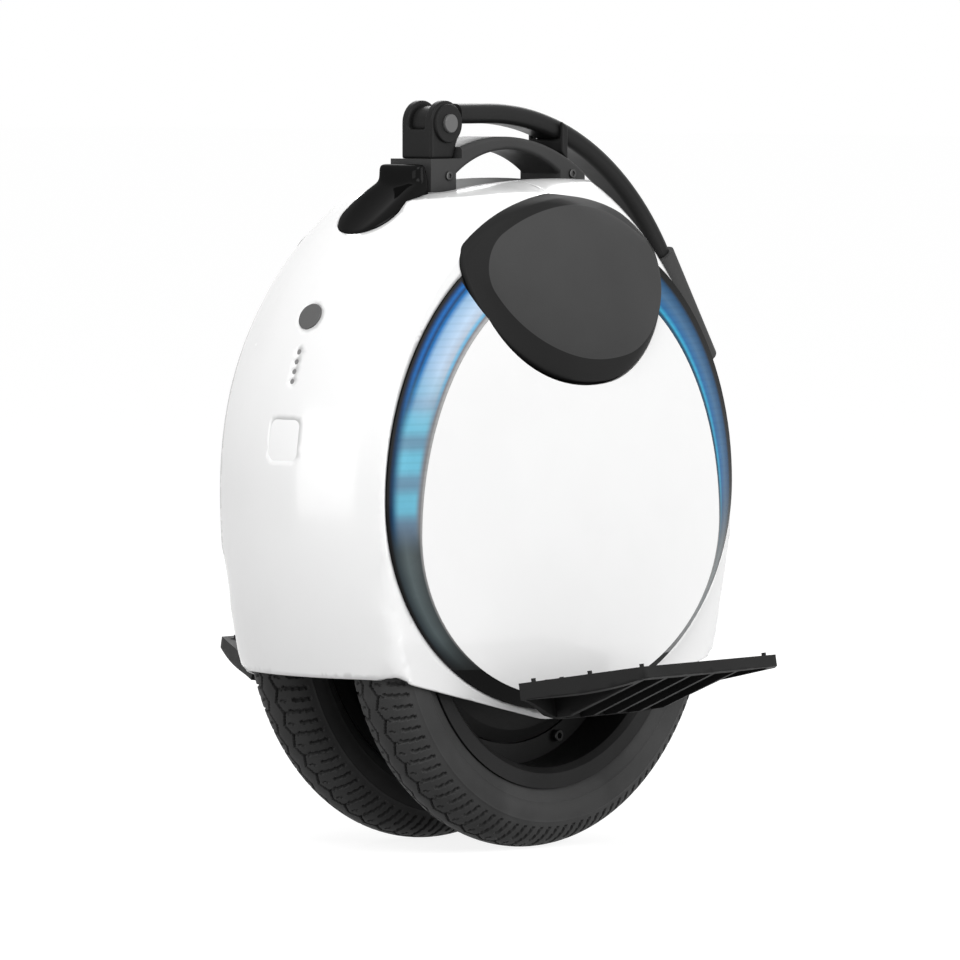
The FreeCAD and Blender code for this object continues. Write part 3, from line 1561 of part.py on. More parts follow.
def make_pedals():
    """Two hollow wedges: a tread with a skirt, deep at the hinge and thin at the outer edge, ribbed below."""
    tread = dim.pedal_tread_lift
    under = tread - dim.pedal_wall
    hem = tread - dim.pedal_skirt
    floor = -dim.pedal_depth
    lug = dim.lug_half_width + dim.fit_gap
    ear = lug + dim.pedal_ear_wall
    axis = Disc(0, 0, dim.pedal_pin_radius + dim.running_fit)
    start = dim.pedal_start + dim.pedal_skirt_wall / 2
    root_end = dim.pedal_start + dim.pedal_root
    tip = dim.pedal_reach - dim.pedal_skirt_wall / 2
    rib_half = dim.pedal_rib_wall / 2
    span = 2 * (dim.pedal_neck_half - 2 * dim.pedal_skirt_wall)
    wide = dim.pedal_half_length + dim.overrun
    for name, side in SIDES:
        tilt = turned(side).multiply(Rotation(Vector(1, 0, 0), float(dim.pedal_tilt)))
        pedal = Piece(f"{name}_pedal", y=side * pedal_axis_y, z=pedal_axis_height, rotation=tilt)
        pedal.pad("XY", floor, tread, pedal_outline(side, 0))
        pedal.pocket("YZ", -wide, wide, [
            (root_end, floor - dim.overrun),
            (dim.pedal_reach + dim.overrun, floor - dim.overrun),
            (dim.pedal_reach + dim.overrun, hem),
            (dim.pedal_reach, hem),
            (root_end, floor),
        ])
        pedal.pocket("XY", floor - dim.overrun, under, pedal_outline(side, dim.pedal_skirt_wall))
        rib = pedal.pad("YZ", -span / 2 - rib_half, rib_half - span / 2, [
            (start, floor),
            (root_end, floor),
            (tip, hem),
            (tip, under + rib_half / 2),
            (start, under + rib_half / 2),
        ])
        doc.recompute()
        pedal.along(rib, "X_Axis", span, PEDAL_RIBS)
        for low, high in ((lug, ear), (-ear, -lug)):
            pedal.pad("YZ", low, high, Disc(0, 0, dim.pedal_ear_radius))
            pedal.pad("YZ", low, high, [
                (0, -dim.pedal_ear_radius),
                (start + dim.pedal_skirt_wall, floor),
                (start + dim.pedal_skirt_wall, tread),
                (0, tread),
            ])
        studs = [Disc(side * dim.pedal_half_length * along, dim.pedal_reach * across, dim.stud_radius)
                 for along, across in STUD_SHARES]
        pedal.pad("XY", tread, tread + dim.stud_height, *studs)
        pedal.pocket("YZ", -ear - dim.overrun, ear + dim.overrun, axis)


def export_parts():
    """Test every object, then write one file per sub-part."""
    doc.recompute()
    for item in doc.Objects:
        if "Invalid" in item.State or "Error" in item.State:
            raise RuntimeError(f"{item.Label} failed: {item.State}")
    for piece in PIECES:
        if piece.Shape.isNull() or not piece.Shape.isValid() or not piece.Shape.Solids:
            raise RuntimeError(f"{piece.Label} has no sound solid")
    os.makedirs("parts", exist_ok=True)
    for piece in PIECES:
        piece.Shape.exportStep(f"parts/{piece.Label}.step")


make_tyres()
make_rims()
make_motor()
make_motor_covers()
make_axle()
make_wheel_fasteners()
make_shells()
make_grip_well()
make_scoop()
make_lights()
make_button()
make_charge_port()
make_sides()
make_inside()
make_pole_clip(make_carry_handle())
make_pole_bracket()
make_pole()
make_hangers()
make_pedals()
export_parts()
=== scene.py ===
import logging
import math
from collections.abc import Sequence
from dataclasses import dataclass
from enum import Enum

import bmesh
import bpy
from bmesh.types import BMesh, BMVert
from bpy.types import Material, Mesh, Object
from mathutils import Matrix, Vector


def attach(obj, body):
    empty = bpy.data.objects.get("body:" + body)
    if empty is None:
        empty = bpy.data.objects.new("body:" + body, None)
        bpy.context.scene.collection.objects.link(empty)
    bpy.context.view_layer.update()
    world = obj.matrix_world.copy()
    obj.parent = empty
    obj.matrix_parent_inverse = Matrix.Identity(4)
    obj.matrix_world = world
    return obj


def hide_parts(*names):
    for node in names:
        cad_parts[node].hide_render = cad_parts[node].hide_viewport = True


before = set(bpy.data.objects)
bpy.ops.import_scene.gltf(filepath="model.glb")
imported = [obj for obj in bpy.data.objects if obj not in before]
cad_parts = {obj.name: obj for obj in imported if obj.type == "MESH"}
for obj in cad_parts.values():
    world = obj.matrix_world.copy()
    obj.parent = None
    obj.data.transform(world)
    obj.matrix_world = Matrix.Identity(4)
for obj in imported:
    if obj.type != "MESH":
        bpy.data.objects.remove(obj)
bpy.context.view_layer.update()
LOG = logging.getLogger("unicycle")

Colour = tuple[float, float, float, float]
Stops = Sequence[tuple[float, Colour]]
Number = float | int
Point = tuple[float, float]
Span = tuple[float, float]

# The wheel's axis on the middle plane, in metres
AXLE = Vector((0.020, 0.0, 0.178))
# Points of one mesh that are closer than this are one point
SAME_POINT = 1e-6
# How often an edge may be halved
REFINE_PASSES = 7


def grey(level: float) -> Colour:
    """A neutral colour of one level."""
    return (level, level, level, 1.0)


def shaded(colour: Colour, share: float) -> Colour:
    """A colour with a share of its light."""
    return tuple(part * share for part in colour[:3]) + (1.0,)


class Body(Enum):
    """The rigid bodies that pieces ride on."""

    CHASSIS = "chassis"
    WHEEL = "wheel"
    LEFT_FOOTREST = "left_footrest"
    RIGHT_FOOTREST = "right_footrest"


class Side(Enum):
    """The two sides of the machine, with the sign of their Y."""

    LEFT = 1
    RIGHT = -1

    @property
    def label(self) -> str:
        """The side's word in node names."""
        return self.name.lower()


def link_object(name: str, data: bpy.types.ID) -> Object:
    """Put a mesh, a lamp or a camera into the scene as an object at the origin.

    Args:
        name: The object's name.
        data: Its mesh, lamp or camera.

    Returns:
        The new object.
    """
    made = bpy.data.objects.new(name, data)
    bpy.context.scene.collection.objects.link(made)
    return made


def add_piece(name: str, mesh: Mesh, body: Body, node: str) -> Object:
    """Put a finished mesh on its body.

    Args:
        name: The piece's name.
        mesh: Its mesh, in the machine's frame.
        body: The body that it rides on.
        node: The CAD node that it stands for.

    Returns:
        The new object.
    """
    piece = link_object(name, mesh)
    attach(piece, body.value)
    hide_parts(node)
    LOG.info("built %s: %d faces", name, len(mesh.polygons))
    return piece


def merged_copy(node: str) -> BMesh:
    """A copy of a CAD node's mesh with its loose triangles joined.

    Args:
        node: The CAD node.

    Returns:
        A working mesh, for the caller to free.
    """
    work = bmesh.new()
    work.from_mesh(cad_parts[node].data)
    bmesh.ops.remove_doubles(work, verts=work.verts, dist=SAME_POINT)
    return work


def refine(work: BMesh, longest: float) -> None:
    """Halve edges until none is longer than a length in metres.

    Args:
        work: The mesh, changed here.
        longest: The length.
    """
    for _ in range(REFINE_PASSES):
        bmesh.ops.triangulate(work, faces=work.faces[:])
        edges = [edge for edge in work.edges if edge.calc_length() > longest]
        if not edges:
            break
        bmesh.ops.subdivide_edges(work, edges=edges, cuts=1)


def join_rows(work: BMesh, rows: Sequence[Sequence[BMVert]]) -> None:
    """Join closed rows of as many points each by four-sided faces.

    Args:
        work: The mesh that gets the faces.
        rows: Its points, row by row.
    """
    for low, high in zip(rows, rows[1:]):
        for i in range(len(low)):
            j = (i + 1) % len(low)
            work.faces.new((low[i], low[j], high[j], high[i]))


def mesh_data(work: BMesh, name: str) -> Mesh:
    """Turn a worked mesh into mesh data and free it.

    Args:
        work: The mesh, freed here.
        name: The name of the data.

    Returns:
        The mesh data.
    """
    mesh = bpy.data.meshes.new(name)
    work.to_mesh(mesh)
    work.free()
    return mesh


def smooth_mesh(work: BMesh, name: str, sharp: float, finish: Material) -> Mesh:
    """Turn a worked mesh into smooth-shaded mesh data.

    Args:
        work: The mesh, freed here.
        name: The name of the data.
        sharp: The angle in degrees over which an edge stays sharp.
        finish: Its material.

    Returns:
        The mesh data.
    """
    for face in work.faces:
        face.smooth = True
        face.material_index = 0
    mesh = mesh_data(work, name)
    mesh.set_sharp_from_angle(angle=math.radians(sharp))
    mesh.materials.clear()
    mesh.materials.append(finish)
    return mesh


def smooth_step(value: float) -> float:
    """A smooth step from zero to one."""
    share = min(max(value, 0.0), 1.0)
    return share * share * (3 - 2 * share)


# Shader expressions


class Signal:
    """A value that runs through a finish's nodes; arithmetic on it adds Math nodes."""

    def __init__(self, sheet: "NodeSheet", socket: bpy.types.NodeSocket) -> None:
        """Wrap one output socket of a node sheet."""
        self.sheet = sheet
        self.socket = socket

    def math(self, operation: str, *values: "Signal | Number") -> "Signal":
        """Add one Math node.

        Args:
            operation: Blender's name of the operation.
            values: The operands in order.

        Returns:
            The node's result.
        """
        return self.sheet.node("ShaderNodeMath", {"operation": operation}, dict(enumerate(values)))

    def __add__(self, other: "Signal | Number") -> "Signal":
        """Sum."""
        return self.math("ADD", self, other)

    def __radd__(self, other: Number) -> "Signal":
        """Sum with a number on the left."""
        return self.math("ADD", other, self)

    def __sub__(self, other: "Signal | Number") -> "Signal":
        """Difference."""
        return self.math("SUBTRACT", self, other)

    def __rsub__(self, other: Number) -> "Signal":
        """Difference from a number."""
        return self.math("SUBTRACT", other, self)

    def __mul__(self, other: "Signal | Number") -> "Signal":
        """Product."""
        return self.math("MULTIPLY", self, other)

    def __rmul__(self, other: Number) -> "Signal":
        """Product with a number on the left."""
        return self.math("MULTIPLY", other, self)

    def __truediv__(self, other: "Signal | Number") -> "Signal":
        """Quotient."""
        return self.math("DIVIDE", self, other)

    def __rtruediv__(self, other: Number) -> "Signal":
        """A number divided by it."""
        return self.math("DIVIDE", other, self)

    def __gt__(self, other: "Signal | Number") -> "Signal":
        """One where greater, else zero."""
        return self.math("GREATER_THAN", self, other)

    def root(self) -> "Signal":
        """Square root."""
        return self.math("SQRT", self)

    def sine(self) -> "Signal":
        """Sine of an angle in radians."""
        return self.math("SINE", self)

    def clamped(self) -> "Signal":
        """Limited to the range from zero to one."""
        return self.math("MINIMUM", self.math("MAXIMUM", self, 0.0), 1.0)

    def swing(self, width: float) -> "Signal":
        """A noise about zero, with the width of its whole swing."""
        return (self - 0.5) * width

    def step(self, low: float, high: float) -> "Signal":
        """A smooth step from zero at low to one at high.

        Args:
            low: Where it starts.
            high: Where it ends.

        Returns:
            The step.
        """
        settings = {"interpolation_type": "SMOOTHSTEP"}
        inputs = {"Value": self, "From Min": low, "From Max": high}
        return self.sheet.node("ShaderNodeMapRange", settings, inputs)


class NodeSheet:
    """The node tree of a finish or of the world."""

    def __init__(self, owner: Material | bpy.types.World) -> None:
        """Start with the owner's tree, emptied.

        Args:
            owner: The material or the world.
        """
        owner.use_nodes = True
        self.tree = owner.node_tree
        self.tree.nodes.clear()

    def node(
        self,
        kind: str,
        settings: dict[str, object] | None = None,
        inputs: dict[str | int, object] | None = None,
        output: str | int = 0,
    ) -> Signal:
        """Add one node.

        Args:
            kind: The node's type.
            settings: Properties, set first; "stops" gives a ramp's places and colours.
            inputs: Values or signals of its sockets, by name or place.
            output: The output that is wanted.

        Returns:
            That output as a signal.
        """
        made = self.tree.nodes.new(kind)
        for key, value in (settings or {}).items():
            if key == "stops":
                self._set_stops(made, value)
            else:
                setattr(made, key, value)
        for key, value in (inputs or {}).items():
            if isinstance(value, Signal):
                self.tree.links.new(value.socket, made.inputs[key])
            else:
                made.inputs[key].default_value = value
        return Signal(self, made.outputs[output] if made.outputs else None)

    @staticmethod
    def _set_stops(ramp: bpy.types.Node, stops: Stops) -> None:
        """Give a colour ramp its stops.

        Args:
            ramp: The ramp's node.
            stops: Its places and colours.
        """
        elements = ramp.color_ramp.elements
        while len(elements) < len(stops):
            elements.new(1.0)
        for element, (place, colour) in zip(elements, stops):
            element.position = place
            element.color = colour

    def place(self) -> Signal:
        """Where a point of the surface is, in the machine's frame."""
        return self.node("ShaderNodeTexCoord", output="Object")

    def axes(self) -> tuple[Signal, Signal, Signal]:
        """The point's three coordinates."""
        split = self.node("ShaderNodeSeparateXYZ", inputs={"Vector": self.place()}).socket.node
        return tuple(Signal(self, output) for output in split.outputs)

    def noise(self, size: float, detail: float, stretch: Sequence[float] = (1.0, 1.0, 1.0)) -> Signal:
        """Cloudy noise.

        Args:
            size: The width of a cloud in metres.
            detail: How many finer layers it has.
            stretch: How much denser it is along each axis.

        Returns:
            A value from zero to one.
        """
        spot = self.node("ShaderNodeMapping", inputs={"Vector": self.place(), "Scale": stretch})
        return self.node("ShaderNodeTexNoise", inputs={"Vector": spot, "Scale": 1 / size, "Detail": detail})

    def ramp(self, value: Signal, stops: Stops) -> Signal:
        """A colour read from a ramp."""
        return self.node("ShaderNodeValToRGB", {"stops": stops}, {"Fac": value})

    def blend(self, share: Signal, first: Signal | Colour, second: Signal | Colour) -> Signal:
        """A mix of two colours."""
        inputs = {0: share, 6: first, 7: second}
        return self.node("ShaderNodeMix", {"data_type": "RGBA"}, inputs, 2)

    def scaled(self, colour: Signal, share: Signal) -> Signal:
        """A colour with a share of its light."""
        return self.node("ShaderNodeVectorMath", {"operation": "SCALE"}, {0: colour, "Scale": share})

    def relief(self, height: Signal, depth: float, strength: float = 1.0) -> Signal:
        """A bumped normal from a height signal of a depth in metres."""
        inputs = {"Height": height, "Distance": depth, "Strength": strength}
        return self.node("ShaderNodeBump", inputs=inputs)

    def surface(self, **inputs: object) -> None:
        """Finish with one principled shader, its sockets named with underscores for spaces."""
        named = {key.replace("_", " "): value for key, value in inputs.items()}
        shader = self.node("ShaderNodeBsdfPrincipled", inputs=named)
        self.node("ShaderNodeOutputMaterial", inputs={"Surface": shader})


# Finishes


@dataclass(frozen=True)
class Finish:
    """How a surface looks."""

    name: str

    def material(self) -> Material:
        """The finish as a material, made at its first use.

        Returns:
            The material.
        """
        made = bpy.data.materials.get(self.name)
        if not made:
            made = bpy.data.materials.new(self.name)
            self.dress(NodeSheet(made))
        return made

    def dress(self, sheet: NodeSheet) -> None:
        """Add the finish's nodes to its empty sheet."""
        raise NotImplementedError


@dataclass(frozen=True)
class Moulding(Finish):
    """A moulded plastic or rubber with a fine grain."""

    colour: Colour
    roughness: float
    grain: float = 0.0006
    relief: float = 0.00004
    drift: float = 0.12
    coat: float = 0.0
    specular: float = 0.5
    coat_roughness: float = 0.06
    grain_swing: float = 0.06
    cloud: float = 0.06
    cloud_edges: Span = (0.35, 0.65)
    smear: float = 0.018
    smear_swing: float = 0.16

    def dress(self, sheet: NodeSheet) -> None:
        """Add a clouded colour, a smeared gloss and the grain.

        Args:
            sheet: The finish's nodes, empty so far.
        """
        cloud = sheet.noise(self.cloud, detail=3.0)
        darker = shaded(self.colour, 1 - self.drift)
        grain = sheet.noise(self.grain, detail=2.0)
        smear = sheet.noise(self.smear, detail=4.0)
        rough = self.roughness + smear.swing(self.smear_swing) + grain.swing(self.grain_swing)
        sheet.surface(
            Base_Color=sheet.blend(cloud.step(*self.cloud_edges), darker, self.colour),
            Roughness=rough.clamped(),
            Normal=sheet.relief(grain, self.relief),
            Coat_Weight=self.coat,
            Coat_Roughness=self.coat_roughness,
            Specular_IOR_Level=self.specular,
        )


@dataclass(frozen=True)
class Metal(Finish):
    """A bare, coated or blackened metal with fine working marks."""

    colour: Colour
    roughness: float
    metallic: float = 1.0
    specular: float = 0.5
    mark: float = 0.004
    mark_lay: tuple[float, float, float] = (1.0, 12.0, 1.0)
    mark_depth: float = 0.00003
    mark_swing: float = 0.2
    stain: float = 0.05
    stain_edges: Span = (0.4, 0.7)
    stain_share: float = 0.72

    def dress(self, sheet: NodeSheet) -> None:
        """Add a stained colour and marks that run one way.

        Args:
            sheet: The finish's nodes, empty so far.
        """
        marks = sheet.noise(self.mark, detail=4.0, stretch=self.mark_lay)
        stain = sheet.noise(self.stain, detail=3.0)
        dull = shaded(self.colour, self.stain_share)
        sheet.surface(
            Base_Color=sheet.blend(stain.step(*self.stain_edges), self.colour, dull),
            Roughness=(self.roughness + marks.swing(self.mark_swing)).clamped(),
            Metallic=self.metallic,
            Normal=sheet.relief(marks, self.mark_depth),
            Specular_IOR_Level=self.specular,
        )


@dataclass(frozen=True)
class Egg:
    """An egg outline on a side of the machine: one width, and its own height above and below its centre."""

    half_width: float
    rise: float
    drop: float
    centre: float

    def reach(self, along: float, height: float) -> float:
        """The level of a point given in numbers."""
        lift = height - self.centre
        return math.hypot(along / self.half_width, lift / (self.rise if lift > 0 else self.drop))

    def level(self, along: Signal, height: Signal) -> Signal:
        """Zero at the centre and one on the outline.

        Args:
            along: The distance forward of the axle.
            height: The height over the ground.

        Returns:
            The level.
        """
        lift = height - self.centre
        tall = self.drop + (lift > 0.0) * (self.rise - self.drop)
        up = lift / tall
        across = along / self.half_width
        return (across * across + up * up).root()


@dataclass(frozen=True)
class RingGlow(Finish):
    """The light guide round a side panel: lit blue at its outer edge, pale inside and grey at the foot."""

    name: str = "light_guide"
    outer: Egg = Egg(half_width=0.182, rise=0.187, drop=0.152, centre=0.250)
    inner: Egg = Egg(half_width=0.157, rise=0.178, drop=0.119, centre=0.226)
    lamps: tuple[float, ...] = (0.331, 0.304, 0.277, 0.249)
    lamp_half: float = 0.0088
    lamp_colour: Colour = (0.11, 0.36, 0.48, 1.0)
    gap_colour: Colour = (0.1, 0.15, 0.225, 1.0)
    core_rise: Span = (0.1, 0.34)
    core_fall: Span = (0.72, 0.9)
    upper_heights: Span = (0.29, 0.35)
    front_foot: Span = (0.212, 0.245)
    front_end: Span = (0.125, 0.16)
    front_dark: Colour = grey(0.006)
    rear_foot: Span = (0.19, 0.27)
    rear_end: Span = (0.128, 0.165)
    rear_dark: Colour = grey(0.008)
    half_overlap: float = 0.02
    tick_pitch: float = 0.0052
    tick_edges: Span = (0.2, 0.9)
    tick_heights: Span = (0.2, 0.3)
    tick_share: float = 0.07
    cloud: float = 0.02
    cloud_swing: float = 0.28
    roughness: float = 0.26
    roughness_swing: float = 0.12
    emission: float = 0.22
    specular: float = 0.08

    def dress(self, sheet: NodeSheet) -> None:
        """Add the colours across the guide, its fine ticks and its glow.

        Args:
            sheet: The finish's nodes, empty so far.
        """
        x, _, z = sheet.axes()
        along = x - AXLE.x
        inward = 1.0 - self.outer.level(along, z)
        outward = self.inner.level(along, z) - 1.0
        across = (inward / (inward + outward)).clamped()
        ahead = along.step(-self.half_overlap, self.half_overlap)
        colour = sheet.blend(ahead, self._rear(sheet, across, z), self._front(sheet, across, z))
        wave = (z * (2 * math.pi / self.tick_pitch)).sine().step(*self.tick_edges)
        ticks = 1.0 - self.tick_share * wave * z.step(*self.tick_heights)
        cloud = sheet.noise(self.cloud, detail=3.0)
        lit = sheet.scaled(colour, ticks * (1.0 + cloud.swing(self.cloud_swing)))
        sheet.surface(
            Base_Color=lit,
            Roughness=(self.roughness + cloud.swing(self.roughness_swing)).clamped(),
            Emission_Color=lit,
            Emission_Strength=self.emission,
            Specular_IOR_Level=self.specular,
        )

    def _foot(self, sheet: NodeSheet, across: Signal) -> Signal:
        """The unlit lower part, grey with a paler inner edge.

        Args:
            sheet: The finish's nodes.
            across: Zero at the outer edge and one at the inner edge.

        Returns:
            The colour.
        """
        stops = [
            (0.0, grey(0.003)),
            (0.04, grey(0.006)),
            (0.12, (0.024, 0.033, 0.038, 1.0)),
            (0.45, (0.078, 0.098, 0.102, 1.0)),
            (0.9, (0.045, 0.053, 0.055, 1.0)),
            (0.97, grey(0.2)),
        ]
        return sheet.ramp(across, stops)

    def _front(self, sheet: NodeSheet, across: Signal, z: Signal) -> Signal:
        """The front half, with lamps that glow through the guide.

        Args:
            sheet: The finish's nodes.
            across: Zero at the outer edge and one at the inner edge.
            z: The height over the ground.

        Returns:
            The colour.
        """
        upper = sheet.ramp(across, [
            (0.0, grey(0.002)),
            (0.03, grey(0.003)),
            (0.07, (0.002, 0.02, 0.07, 1.0)),
            (0.14, (0.003, 0.1, 0.34, 1.0)),
            (0.2, (0.002, 0.03, 0.1, 1.0)),
            (0.26, (0.006, 0.12, 0.34, 1.0)),
            (0.36, (0.22, 0.36, 0.52, 1.0)),
            (0.62, (0.36, 0.47, 0.6, 1.0)),
            (0.78, (0.33, 0.39, 0.47, 1.0)),
            (0.86, (0.1, 0.32, 0.5, 1.0)),
            (0.91, (0.16, 0.15, 0.16, 1.0)),
            (0.97, grey(0.3)),
        ])
        glow = 0.0
        for height in self.lamps:
            off = (z - height) / self.lamp_half
            glow = glow + 1.0 / (1.0 + off * off * off * off)
        core = sheet.blend(glow.clamped(), self.gap_colour, self.lamp_colour)
        edge = sheet.ramp(across, [
            (0.0, grey(0.002)),
            (0.04, grey(0.003)),
            (0.09, (0.002, 0.018, 0.05, 1.0)),
            (0.2, (0.004, 0.055, 0.13, 1.0)),
            (0.75, (0.12, 0.19, 0.26, 1.0)),
            (0.92, (0.15, 0.15, 0.155, 1.0)),
            (0.97, grey(0.26)),
        ])
        inside = across.step(*self.core_rise) * (1.0 - across.step(*self.core_fall))
        middle = sheet.blend(inside, edge, core)
        lit = sheet.blend(z.step(*self.upper_heights), middle, upper)
        lit = sheet.blend(z.step(*self.front_foot), self._foot(sheet, across), lit)
        return sheet.blend(z.step(*self.front_end), self.front_dark, lit)

    def _rear(self, sheet: NodeSheet, across: Signal, z: Signal) -> Signal:
        """The rear half, a duller blue with a bright inner line.

        Args:
            sheet: The finish's nodes.
            across: Zero at the outer edge and one at the inner edge.
            z: The height over the ground.

        Returns:
            The colour.
        """
        upper = sheet.ramp(across, [
            (0.0, grey(0.002)),
            (0.16, grey(0.004)),
            (0.26, (0.012, 0.06, 0.14, 1.0)),
            (0.5, (0.05, 0.13, 0.24, 1.0)),
            (0.74, (0.016, 0.11, 0.27, 1.0)),
            (0.86, (0.03, 0.3, 0.48, 1.0)),
            (0.94, (0.01, 0.05, 0.09, 1.0)),
        ])
        lit = sheet.blend(z.step(*self.rear_foot), self._foot(sheet, across), upper)
        return sheet.blend(z.step(*self.rear_end), self.rear_dark, lit)


@dataclass(frozen=True)
class PadSkin(Finish):
    """The knee pad's soft skin: a paler face plate in a darker border, marked by the plate attribute."""

    name: str = "knee_pad_skin"
    face: Colour = grey(0.047)
    border: Colour = grey(0.012)
    cloud: float = 0.045
    cloud_swing: float = 0.36
    roughness: float = 0.6
    roughness_swing: float = 0.14
    plate_polish: float = 0.06
    pores_per_metre: float = 1400.0
    pore_depth: float = 0.00006
    pore_strength: float = 0.6
    specular: float = 0.1

    def dress(self, sheet: NodeSheet) -> None:
        """Add the two colours, a worn cloud over both and fine pores.

        Args:
            sheet: The finish's nodes, empty so far.
        """
        plate = sheet.node("ShaderNodeAttribute", {"attribute_name": "plate"}, output="Fac")
        spots = {"Vector": sheet.place(), "Scale": self.pores_per_metre}
        pores = sheet.node("ShaderNodeTexVoronoi", inputs=spots)
        cloud = sheet.noise(self.cloud, detail=3.0)
        skin = sheet.blend(plate, self.border, self.face)
        rough = self.roughness - plate * self.plate_polish + cloud.swing(self.roughness_swing)
        sheet.surface(
            Base_Color=sheet.scaled(skin, 1.0 + cloud.swing(self.cloud_swing)),
            Roughness=rough.clamped(),
            Normal=sheet.relief(pores, self.pore_depth, self.pore_strength),
            Specular_IOR_Level=self.specular,
        )


LIGHT_GUIDE = RingGlow()
PAD_SKIN = PadSkin()
WHITE_SHELL = Moulding(
    "gloss_white_shell", grey(0.86), 0.2, grain=0.004, relief=0.000012, drift=0.015, coat=0.35
)
SATIN_BLACK = Moulding("satin_black_plastic", grey(0.013), 0.46, specular=0.1)
GLOSS_BLACK = Moulding(
    "piano_black_plastic", grey(0.005), 0.2, grain=0.003, relief=0.00001, drift=0.1, coat=0.12, specular=0.0
)
HANDLE_GREY = Moulding("handle_satin_grey", grey(0.042), 0.42, specular=0.1)
# Painted shade: the grip well's mid grey stands for the shadow under the carry handle, darker than the
# white shell
WELL_PAINTED_SHADE = Moulding("trough_pale_grey", grey(0.5), 0.4, grain=0.002, relief=0.00002, drift=0.06)
DARK_GREY = Moulding("satin_dark_grey", grey(0.085), 0.5)
PALE_GREY = Moulding("light_pipe_grey", grey(0.22), 0.4)
PEDAL_BLACK = Moulding(
    "glass_filled_black", grey(0.018), 0.58, grain=0.0009, relief=0.00009, drift=0.25, specular=0.08
)
TUBE_BLACK = Moulding("tube_black", grey(0.014), 0.36, grain=0.0005, relief=0.00002, specular=0.1)
GRIP_RUBBER = Moulding("grip_rubber", grey(0.009), 0.6, grain=0.0008, relief=0.00008, specular=0.06)
TYRE_RUBBER = Moulding(
    "tyre_rubber", grey(0.058), 0.62, grain=0.0007, relief=0.00008, drift=0.3, specular=0.1
)
OPAL_LENS = Moulding("opal_lamp_lens", grey(0.9), 0.16, grain=0.003, relief=0.00001, drift=0.02, coat=0.5)
RED_LENS = Moulding(
    "red_lamp_lens", (0.3, 0.008, 0.006, 1.0), 0.12, grain=0.004, relief=0.00001, drift=0.2, coat=0.6
)
BATTERY_WRAP = Moulding("battery_wrap", (0.03, 0.09, 0.3, 1.0), 0.35, grain=0.002, relief=0.00005)
CIRCUIT_BOARD = Moulding(
    "circuit_board", (0.012, 0.09, 0.03, 1.0), 0.4, grain=0.001, relief=0.00005, drift=0.3
)
BLACK_CASTING = Metal("black_coated_casting", grey(0.016), 0.44, metallic=0.1, specular=0.1)
BARE_ALUMINIUM = Metal("extruded_aluminium", grey(0.66), 0.36)
PLAIN_STEEL = Metal("plain_steel", grey(0.5), 0.3)
DARK_STEEL = Metal("blackened_steel", grey(0.055), 0.36, metallic=0.8)
STATOR_IRON = Metal("stator_iron", (0.2, 0.15, 0.12, 1.0), 0.5)

CAD_FINISHES: dict[Finish, tuple[str, ...]] = {
    WHITE_SHELL: ("left_side_panel", "right_side_panel"),
    # the grip well gets the painted shade under the carry handle
    WELL_PAINTED_SHADE: ("grip_well",),
    HANDLE_GREY: ("carry_handle",),
    SATIN_BLACK: (
        "left_side_plate", "right_side_plate", "hinge_cap", "button_switch", "wheel_liner",
        "charge_socket",
    ),
    GLOSS_BLACK: ("left_lower_trim", "right_lower_trim"),
    DARK_GREY: ("power_button", "hinge_release"),
    PALE_GREY: ("battery_gauge",),
    TUBE_BLACK: ("pole_tube",),
    GRIP_RUBBER: ("pole_grip", "charge_cap"),
    LIGHT_GUIDE: ("left_light_ring", "right_light_ring"),
    OPAL_LENS: ("headlight_lens", "left_led_strip", "right_led_strip"),
    RED_LENS: ("tail_light_lens",),
    BATTERY_WRAP: ("front_battery", "rear_battery"),
    CIRCUIT_BOARD: ("lamp_boards", "control_board"),
    BLACK_CASTING: (
        "left_rim", "right_rim", "motor_drum", "left_motor_cover", "right_motor_cover", "left_hanger",
        "right_hanger",
    ),
    BARE_ALUMINIUM: ("heat_sink",),
    PLAIN_STEEL: ("pedal_pins", "axle_nuts", "axle", "axle_spacers", "bearings", "valve_stems"),
    DARK_STEEL: ("hanger_screws", "hinge_pin"),
    STATOR_IRON: ("stator", "magnet_ring"),
}


# Repeated pieces


